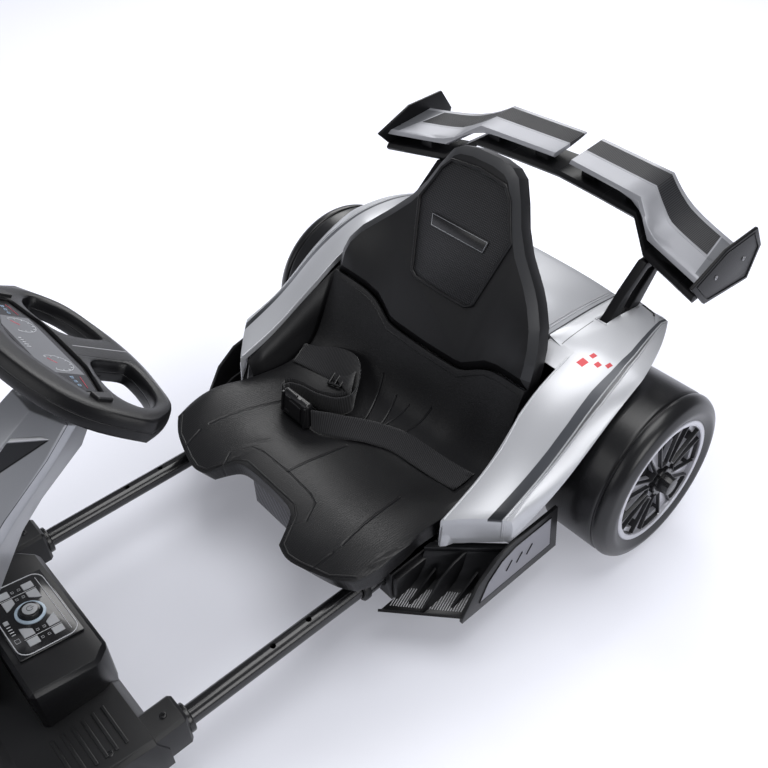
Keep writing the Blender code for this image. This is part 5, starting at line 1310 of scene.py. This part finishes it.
for side, name in SIDES:
    tidied(f"side_step_{name}", step_plastic, 0.0007, 2, 35, 35)
    # Raised slanted bars over the flat front of the tray, as fine as a grille
    grille = []
    for i in range(GRILLE_BARS):
        spots = []
        for y, z in GRILLE_ROWS:
            x = GRILLE_X[0] + i * GRILLE_PITCH - GRILLE_LEAN * (y - GRILLE_ROWS[0][0]) / 0.048
            out = x - TRAY_INNER_X
            if GRILLE_X[0] < x < GRILLE_X[1]:
                height = z + out * TRAY_RISE * (z - 0.0620) + 0.0004
                spots.append(Vector((side * x, REAR_AXLE_Y + y + out * TRAY_SKEW, height)))
        if len(spots) > 1:
            grille.append(bead("grille_bar", spots, 0.00075, sides=1))
    detail(joined(f"step_grille_{name}", grille), grille_grey, f"side_step_{name}")
    inset = [(y + REAR_AXLE_Y, z) for y, z in STEP_INSET]
    corners = [(side * 0.2969, y, z) for y, z in inset]
    plate = meshed(f"step_inset_{name}", corners, [tuple(range(len(inset)))])
    thickened(plate, (-side * 0.0012, 0, 0))
    rounded_edges(plate, 0.0005, 2, 35)
    detail(plate, inset_grey, f"side_step_{name}")
    frame_line = [(side * 0.2962, y, z) for y, z in inset]
    detail(bead(f"step_wall_bead_{name}", frame_line, 0.0013, closed=True), step_plastic, f"side_step_{name}")
    facets = []
    for i in range(3):
        y = REAR_AXLE_Y - 0.252 + i * 0.020
        ends = [(side * 0.2971, y, 0.098), (side * 0.2971, y + 0.010, 0.112)]
        facets.append(bead(f"facet_{name}_{i}", ends, 0.0011))
    detail(joined(f"step_facets_{name}", facets), step_plastic, f"side_step_{name}")


# Rear tub, battery, frame tubes and their sleeves: a black moulded tub under the seat, whose nose
# is a grey cover with slanted lines, and gloss black enamelled steel tubes.

def tub_marks(tree, place):
    x, y, z = xyz(tree, place)
    nose = ramp(tree, y, REAR_AXLE_Y - 0.3795, REAR_AXLE_Y - 0.3805)
    lines = band(tree, calc(tree, "PINGPONG", plus(tree, x, times(tree, z, 0.7)), 0.006), 0.0, 0.0008, 0.0002)
    return [(nose, (0.10, 0.10, 0.11)), (times(tree, nose, lines), (0.30, 0.30, 0.33))]


tub_plastic = moulded_plastic("tub_plastic", (0.010, 0.010, 0.011), 0.42, grain=0.0006, marks=tub_marks)
tidied("rear_tub", tub_plastic, 0.0010)
battery_case = moulded_plastic("battery_case", (0.030, 0.030, 0.033), 0.40)
tidied("battery", battery_case, 0.0020, 3)


def tube_marks(tree, place):
    """Fine chips and a greased, rubbed line where the tube slides."""
    x, y, z = xyz(tree, place)
    rub = noise(tree, vector(tree, "MULTIPLY", place, (400.0, 12.0, 400.0)), 1.0, 3.0)
    chips = times(tree, ramp(tree, rub, 0.60, 0.78, 0.35), ramp(tree, z, 0.088, 0.094))
    return [(chips, (0.10, 0.10, 0.105))]


# The frame tubes' distance from the middle and their height
TUBE_X = 0.177
TUBE_Z = 0.083


def tube_collar(name, side, y, inner, outer, front):
    """A collar round a frame tube, from 4 mm behind y to the given length in front of it."""
    made = turned_ring(name, [(inner, front), (outer, front), (outer, -0.004), (inner, -0.004)], 0.002, 3, 48)
    made.data.transform(placed((side * TUBE_X, REAR_AXLE_Y + y, TUBE_Z), (90, "X")))
    smooth_faces(made, 50)
    return made


gloss_enamel = moulded_plastic(
    "gloss_enamel", (0.008, 0.008, 0.009), 0.20, grain=0.0014, depth=0.00002, shine=0.6, marks=tube_marks
)
for side, name in SIDES:
    softened(f"rail_{name}", gloss_enamel, 50, 1, 40)
    tidied(f"rail_sleeve_{name}", gloss_enamel, 0.0006, 2, 45)
    collar = tube_collar(f"sleeve_collar_{name}", side, -0.4005, 0.0140, 0.0188, 0.006)
    detail(collar, step_plastic, f"rail_sleeve_{name}")


# Front pod: a black moulded foot floor with raised tread ribs, sockets that clamp the two frame
# tubes, a shallow pit for the column, and a rigid bumper across the nose.

pod_plastic = moulded_plastic("pod_plastic", (0.009, 0.009, 0.010), 0.38, grain=0.0006, depth=0.00005)
tidied("front_pod", pod_plastic, 0.0016, 3, 30)
treads = []
for side in (-1, 1):
    for row in range(6):
        place = (side * 0.150, REAR_AXLE_Y - 0.735 - row * 0.012, 0.1186)
        treads.append(block((0.058, 0.0042, 0.0022), place, None, 0.0009))
detail(joined("pod_treads", treads), pod_plastic, "front_pod")
socket_bits = []
for side in (-1, 1):
    for y in (-0.690, -0.755):
        socket_bits.append(pan_screw((side * TUBE_X, REAR_AXLE_Y + y, 0.1172), (0, 0, 1), 0.0042))
    socket_bits.append(tube_collar("socket_collar", side, -0.667, 0.0137, 0.0185, 0.004))
detail(joined("pod_socket_fittings", socket_bits), cap_black, "front_pod")

bumper_plastic = moulded_plastic("bumper_plastic", (0.009, 0.009, 0.010), 0.45, grain=0.0007, depth=0.00006)
tidied("front_bumper", bumper_plastic, 0.0030, 4)
bumper_line = [
    (x, y + REAR_AXLE_Y, 0.0885)
    for x, y in (
        (-0.183, -1.0408), (-0.150, -1.0585), (-0.060, -1.0705), (0.060, -1.0705), (0.150, -1.0585),
        (0.183, -1.0408)
    )
]
detail(bead("bumper_line", bumper_line, 0.0014), bumper_plastic, "front_bumper")


# Steering gear under the pod: an enamelled axle beam, forged-look knuckles and a zinc tie rod.

enamel = moulded_plastic("beam_enamel", (0.010, 0.010, 0.011), 0.26, grain=0.0010, shine=0.55)
tidied("front_axle_beam", enamel, 0.0008)
for name in ("left", "right"):
    tidied(f"knuckle_{name}", enamel, 0.0006)
tidied("tie_rod", zinc_bar, 0.0006)


# Pedals: ribbed satin plates leaning towards the driver; they are fixed switches under foot.

pedal_satin = moulded_plastic("pedal_satin", (0.050, 0.051, 0.055), 0.38, grain=0.0005)
for name in ("left", "right"):
    tidied(f"pedal_{name}", pedal_satin, 0.0007, 2)


# Console between the driver's feet: a black moulded box whose sloping top carries a gloss control
# panel with a silver line border, eight grey keys, a round start button in a ring, and a charge bar.

# Slope of the console's top, in degrees
SLOPE = math.degrees(math.atan2(0.184 - 0.168, 0.095))
panel_frame = placed((0, REAR_AXLE_Y - 0.7455, 0.176), (-SLOPE, "X"))
console_plastic = moulded_plastic("console_plastic", (0.008, 0.008, 0.009), 0.33, grain=0.0005, shine=0.32)
tidied("console", console_plastic, 0.0012, 2)

panel_gloss = moulded_plastic(
    "panel_gloss", (0.009, 0.009, 0.010), 0.16, grain=0.0015, depth=0.00001, shine=0.55
)
key_grey = smooth_finish("key_grey", (0.42, 0.43, 0.45), 0.38)
line_silver = smooth_finish("line_silver", (0.62, 0.63, 0.66), 0.30)
ring_light = smooth_finish("ring_light", (0.46, 0.56, 0.66), 0.24)
tidied("control_panel", panel_gloss, 0.0008, 2, 35, 35)
# Height of the printed lines over the panel's frame
TOP = 0.0034


def plate_on(matrix, name, outline, low, high, edge=0.0003):
    """A small plate of the given outline, from low to high over a frame's XY plane, edges eased."""
    plate = meshed(name, [(x, y, low) for x, y in outline], [tuple(range(len(outline)))])
    thickened(plate, (0, 0, high - low))
    if edge:
        rounded_edges(plate, edge, 2, 30)
    plate.data.transform(matrix)
    return plate


def rounded_corners(half_x, half_y, radius, steps=5):
    """The outline of a rectangle with rounded corners."""
    loop = []
    for cx, cy, first in ((1, 1, 0), (-1, 1, 1), (-1, -1, 2), (1, -1, 3)):
        for i in range(steps + 1):
            angle = math.pi / 2 * (first + i / steps)
            x = cx * (half_x - radius) + radius * math.cos(angle)
            y = cy * (half_y - radius) + radius * math.sin(angle)
            loop.append((x, y))
    return loop


def round_arc(centre, radius, first, step, count):
    """Places round a centre, from the first angle on by equal steps, in degrees."""
    turns = [math.radians(first + i * step) for i in range(count)]
    return [(centre[0] + radius * math.cos(turn), centre[1] + radius * math.sin(turn)) for turn in turns]


def line_on(matrix, name, points, height, radius, closed=False):
    return bead(name, [matrix @ Vector((x, y, height)) for x, y in points], radius, closed, 1)


border = line_on(panel_frame, "border", rounded_corners(0.0545, 0.0345, 0.013), TOP, 0.00065, True)
inner_line = line_on(panel_frame, "inner_line", [(-0.0470, 0.0265), (0.0470, 0.0265)], TOP, 0.0004)
key_lines = []
keys = []
for sx in (-1, 1):
    key_lines.append(
        line_on(panel_frame, "key_line", [(sx * 0.0330, -0.0215), (sx * 0.0330, 0.0215)], TOP, 0.0003)
    )
    for sy in (-1, 1):
        near = [(0.0225, 0.0080), (0.0310, 0.0080), (0.0310, 0.0205), (0.0150, 0.0205), (0.0165, 0.0165)]
        far = [(0.0350, 0.0080), (0.0450, 0.0080), (0.0450, 0.0205), (0.0350, 0.0205)]
        for outline in (near, far):
            order = outline if sx * sy > 0 else list(reversed(outline))
            keys.append(
                plate_on(panel_frame, "key", [(sx * x, sy * y) for x, y in order], 0.0030, 0.0044, 0.0004)
            )
        for x in (0.0270, 0.0400):
            square = [
                (sx * x + dx * 0.0014, sy * 0.0038 + dy * 0.0014)
                for dx, dy in ((-1, -1), (1, -1), (1, 1), (-1, 1))
            ]
            key_lines.append(line_on(panel_frame, "key_mark", square, TOP, 0.00025, True))
for i in range(4):
    x = 0.0060 + i * 0.0045
    key_lines.append(line_on(panel_frame, "charge_bar", [(x, -0.0300), (x, -0.0255)], TOP, 0.0006))
icon = [(0.0270, -0.0305), (0.0330, -0.0305), (0.0330, -0.0255), (0.0270, -0.0255)]
key_lines.append(line_on(panel_frame, "charge_icon", icon, TOP, 0.0003, True))
small_key = [(-0.0040, -0.0305), (0.0020, -0.0305), (0.0020, -0.0250), (-0.0040, -0.0250)]
keys.append(plate_on(panel_frame, "key", small_key, 0.0030, 0.0040, 0.0003))
detail(joined("panel_lines", [border, inner_line] + key_lines), line_silver, "control_panel")
detail(joined("panel_keys", keys), key_grey, "control_panel")
RING = [(0.0138, 0.0030), (0.0172, 0.0030), (0.0172, 0.0052), (0.0138, 0.0056)]
ring = turned_ring("button_ring", RING, 0.0008, 3, 64)
ring.data.transform(panel_frame)
smooth_faces(ring, 50)
detail(ring, ring_light, "control_panel")
BUTTON = [
    (0.0, 0.0112), (0.004, 0.0111), (0.0075, 0.0106), (0.0098, 0.0098), (0.0106, 0.0086),
    (0.0108, 0.0070), (0.0108, 0.0050), (0.0, 0.0050)
]
button = spun("start_button", BUTTON, 48)
button.data.transform(panel_frame)
smooth_faces(button, 50)
detail(button, key_grey, "control_panel")
mark = line_on(panel_frame, "power_mark", round_arc((0, 0), 0.0035, 120, 30, 11), 0.0113, 0.0003)
stroke = line_on(panel_frame, "power_stroke", [(0, 0.0045), (0, 0.0010)], 0.0113, 0.0003)
detail(joined("power_marks", [mark, stroke]), panel_gloss, "control_panel")


# Column cowl: a faceted silver hood over the column. A dark panel is let into each flank under a
# raised edge that carries a painted highlight, and a parting line runs down its corner.

wheel_frame = placed((0.0, -0.197, 0.487), (-36, "X"))
wheel_inverse = wheel_frame.inverted()


def wheel_axis(tree, place, axis):
    row = wheel_inverse[axis]
    return plus(tree, vector(tree, "DOT_PRODUCT", place, tuple(row[:3]), "Value"), row[3])


def beside_line(tree, place, start, end):
    """Distance past a line through two places of the column's frame, given as across and down."""
    along, rise = end[0] - start[0], end[1] - start[1]
    length = math.hypot(along, rise)
    across = minus(tree, wheel_axis(tree, place, 1), start[0])
    down = minus(tree, wheel_axis(tree, place, 2), start[1])
    turned = times(tree, across, -rise / length)
    return plus(tree, turned, times(tree, down, along / length))


# The flank panel's front tip and its two rear corners, as across and down the column
PANEL_TIP = (-0.0192, -0.0711)
PANEL_UPPER = (-0.0498, -0.0881)
PANEL_LOWER = (-0.0463, -0.1122)
# The corner of the cowl's side: places down the column and across it
COWL_CORNER = [
    (-0.520, -0.0620),
    (-0.405, -0.0520),
    (-0.330, -0.0620),
    (-0.200, -0.0480),
    (-0.160, -0.0390),
    (-0.092, -0.0180),
    (-0.052, -0.0080),
]


def on_flank(tree, place):
    side = from_middle(tree, place)
    down = wheel_axis(tree, place, 2)
    edge = plus(tree, side, times(tree, down, 0.04))
    return times(tree, ramp(tree, edge, 0.0200, 0.0206), band(tree, down, -0.300, -0.0711, 0.0010))


def cowl_relief(tree, place):
    upper = beside_line(tree, place, PANEL_TIP, PANEL_UPPER)
    lower = beside_line(tree, place, PANEL_LOWER, PANEL_TIP)
    sunk = times(tree, ramp(tree, upper, 0.0, 0.0008), ramp(tree, lower, 0.0, 0.0008), -0.0008)
    raised = times(tree, band(tree, upper, -0.0032, -0.0004, 0.0009), 0.0010)
    return times(tree, plus(tree, sunk, raised), on_flank(tree, place))


def cowl_marks(tree, place):
    upper = beside_line(tree, place, PANEL_TIP, PANEL_UPPER)
    lower = beside_line(tree, place, PANEL_LOWER, PANEL_TIP)
    flank = on_flank(tree, place)
    panel = times(tree, ramp(tree, upper, 0.0, 0.0006), ramp(tree, lower, 0.0, 0.0006), flank)
    outline = times(tree, band(tree, lower, 0.0, 0.0012, 0.0004), ramp(tree, upper, 0.0, 0.0006), flank)
    # Painted highlight: a near-white strip along the raised edge above the panel
    edge = times(tree, band(tree, upper, -0.0030, -0.0006, 0.0006), flank)
    parting = minus(tree, wheel_axis(tree, place, 1), graph(tree, wheel_axis(tree, place, 2), COWL_CORNER))
    side = from_middle(tree, place)
    seam = times(tree, band(tree, parting, -0.0005, 0.0005, 0.0002), ramp(tree, side, 0.040, 0.042))
    return [
        (panel, (0.045, 0.046, 0.052)), (outline, (0.012, 0.012, 0.013)), (edge, (0.85, 0.86, 0.88)),
        (times(tree, seam, 0.9), (0.02, 0.02, 0.022))
    ]


cowl_silver = silver_lacquer("cowl_silver", (0.40, 0.41, 0.44), 0.32, relief=cowl_relief, marks=cowl_marks)
tidied("column_cowl", cowl_silver, 0.0018, 3, 24, 26)


# Steering column: gloss black enamelled tube with the crank at its foot.

tidied("steering_column", gloss_enamel, 0.0006)


# Steering wheel: a thick rim moulded in grained soft-touch plastic in two halves, whose
# parting line runs round its flank, with a light display let into the far side.

def wheel_relief(tree, place):
    up = wheel_axis(tree, place, 2)
    across = calc(tree, "ABSOLUTE", wheel_axis(tree, place, 0))
    along = wheel_axis(tree, place, 1)
    parting = times(tree, band(tree, up, -0.0006, 0.0006, 0.0003), -0.0006)
    spoke_lines = times(
        tree, band(tree, across, 0.0215, 0.0228, 0.0003), band(tree, along, -0.010, 0.052, 0.001), -0.0006
    )
    leather = add_node(tree, "ShaderNodeTexVoronoi", {"Vector": place, "Scale": 900.0}, feature="SMOOTH_F1")
    grain = ramp(tree, leather.outputs["Distance"], 0.1, 0.6, -0.00005)
    return plus(tree, parting, spoke_lines, grain)


def wheel_marks(tree, place):
    up = wheel_axis(tree, place, 2)
    across = calc(tree, "ABSOLUTE", wheel_axis(tree, place, 0))
    along = wheel_axis(tree, place, 1)
    line = times(
        tree, band(tree, across, -0.001, 0.0006, 0.0002), band(tree, along, -0.004, 0.060, 0.0006),
        ramp(tree, up, 0.010, 0.012)
    )
    return [(times(tree, line, 0.8), (0.55, 0.55, 0.58))]


wheel_soft = moulded_plastic(
    "wheel_soft", (0.007, 0.007, 0.008), 0.34, shine=0.28, grain=0.0005, relief=wheel_relief,
    marks=wheel_marks
)
softened("steering_wheel", wheel_soft, 44)


def display_marks(tree, place):
    """The light middle field between the dark ends of the screen."""
    across = calc(tree, "ABSOLUTE", wheel_axis(tree, place, 0))
    along = wheel_axis(tree, place, 1)
    field = times(tree, ramp(tree, across, 0.0605, 0.0600), band(tree, along, -0.0600, -0.0215, 0.0004))
    return [(field, (0.17, 0.175, 0.19))]


display_face = moulded_plastic(
    "display_face", (0.020, 0.020, 0.023), 0.20, grain=0.0012, depth=0.00001, shine=0.5,
    marks=display_marks
)
display_frame = moulded_plastic("display_frame", (0.012, 0.012, 0.013), 0.30, shine=0.45)
tidied("steering_display", display_frame, 0.0008, 2, 30, 30)
SCREEN = [
    (0.042, -0.0155), (0.0935, -0.0268), (0.0935, -0.0395), (0.0285, -0.0640), (-0.0285, -0.0640),
    (-0.0935, -0.0395), (-0.0935, -0.0268), (-0.042, -0.0155)
]
screen = plate_on(wheel_frame, "display_screen", list(reversed(SCREEN)), 0.0090, 0.0104, 0.0004)
detail(screen, display_face, "steering_display")
# Height of the printed marks over the wheel's frame
GLASS = 0.0105
dial_white = smooth_finish("dial_white", (0.62, 0.64, 0.68), 0.35)
dial_red = smooth_finish("dial_red", (0.55, 0.08, 0.12), 0.35)
dial_blue = smooth_finish("dial_blue", (0.40, 0.55, 0.75), 0.35)
white_lines, red_lines, blue_lines = [], [], []
for sx in (-1, 1):
    centre = (sx * 0.040, -0.040)
    white_lines.append(line_on(wheel_frame, "dial", round_arc(centre, 0.0155, -30, 12, 21), GLASS, 0.00030))
    inner, outer = round_arc(centre, 0.0125, -30, 30, 9), round_arc(centre, 0.0150, -30, 30, 9)
    for ends in zip(inner, outer):
        white_lines.append(line_on(wheel_frame, "tick", ends, GLASS, 0.00025))
    red_lines.append(
        line_on(wheel_frame, "needle", [centre, (centre[0] - 0.009, centre[1] - 0.006)], GLASS, 0.00035)
    )
    red_lines.append(
        line_on(wheel_frame, "rev_line", [(sx * 0.066, -0.030), (sx * 0.088, -0.0335)], GLASS, 0.00035)
    )
    for icon in range(3):
        x = sx * (0.068 + icon * 0.0075)
        blue_lines.append(
            line_on(
                wheel_frame, "icon",
                [
                    (x - 0.0016, -0.0405), (x + 0.0016, -0.0405), (x + 0.0016, -0.0380),
                    (x - 0.0016, -0.0380)
                ],
                GLASS, 0.0003, True
            )
        )
for i in range(5):
    white_lines.append(
        line_on(
            wheel_frame, "middle_mark",
            [(-0.009 + i * 0.0045, -0.0560), (-0.009 + i * 0.0045, -0.0535 + 0.0005 * i)], GLASS, 0.0004
        )
    )
detail(joined("display_white_marks", white_lines), dial_white, "steering_display")
detail(joined("display_red_marks", red_lines), dial_red, "steering_display")
detail(joined("display_blue_marks", blue_lines), dial_blue, "steering_display")
# Black tab at each end of the display, pressed with the thumb
tabs = []
for sx in (-1, 1):
    outline = [(sx * 0.1045, -0.0200), (sx * 0.1165, -0.0240), (sx * 0.1165, -0.0400), (sx * 0.1045, -0.0420)]
    tabs.append(
        plate_on(
            wheel_frame, "thumb_tab", outline if sx < 0 else list(reversed(outline)), 0.0115, 0.0165,
            0.0012
        )
    )
detail(joined("thumb_tabs", tabs), display_frame, "steering_display")
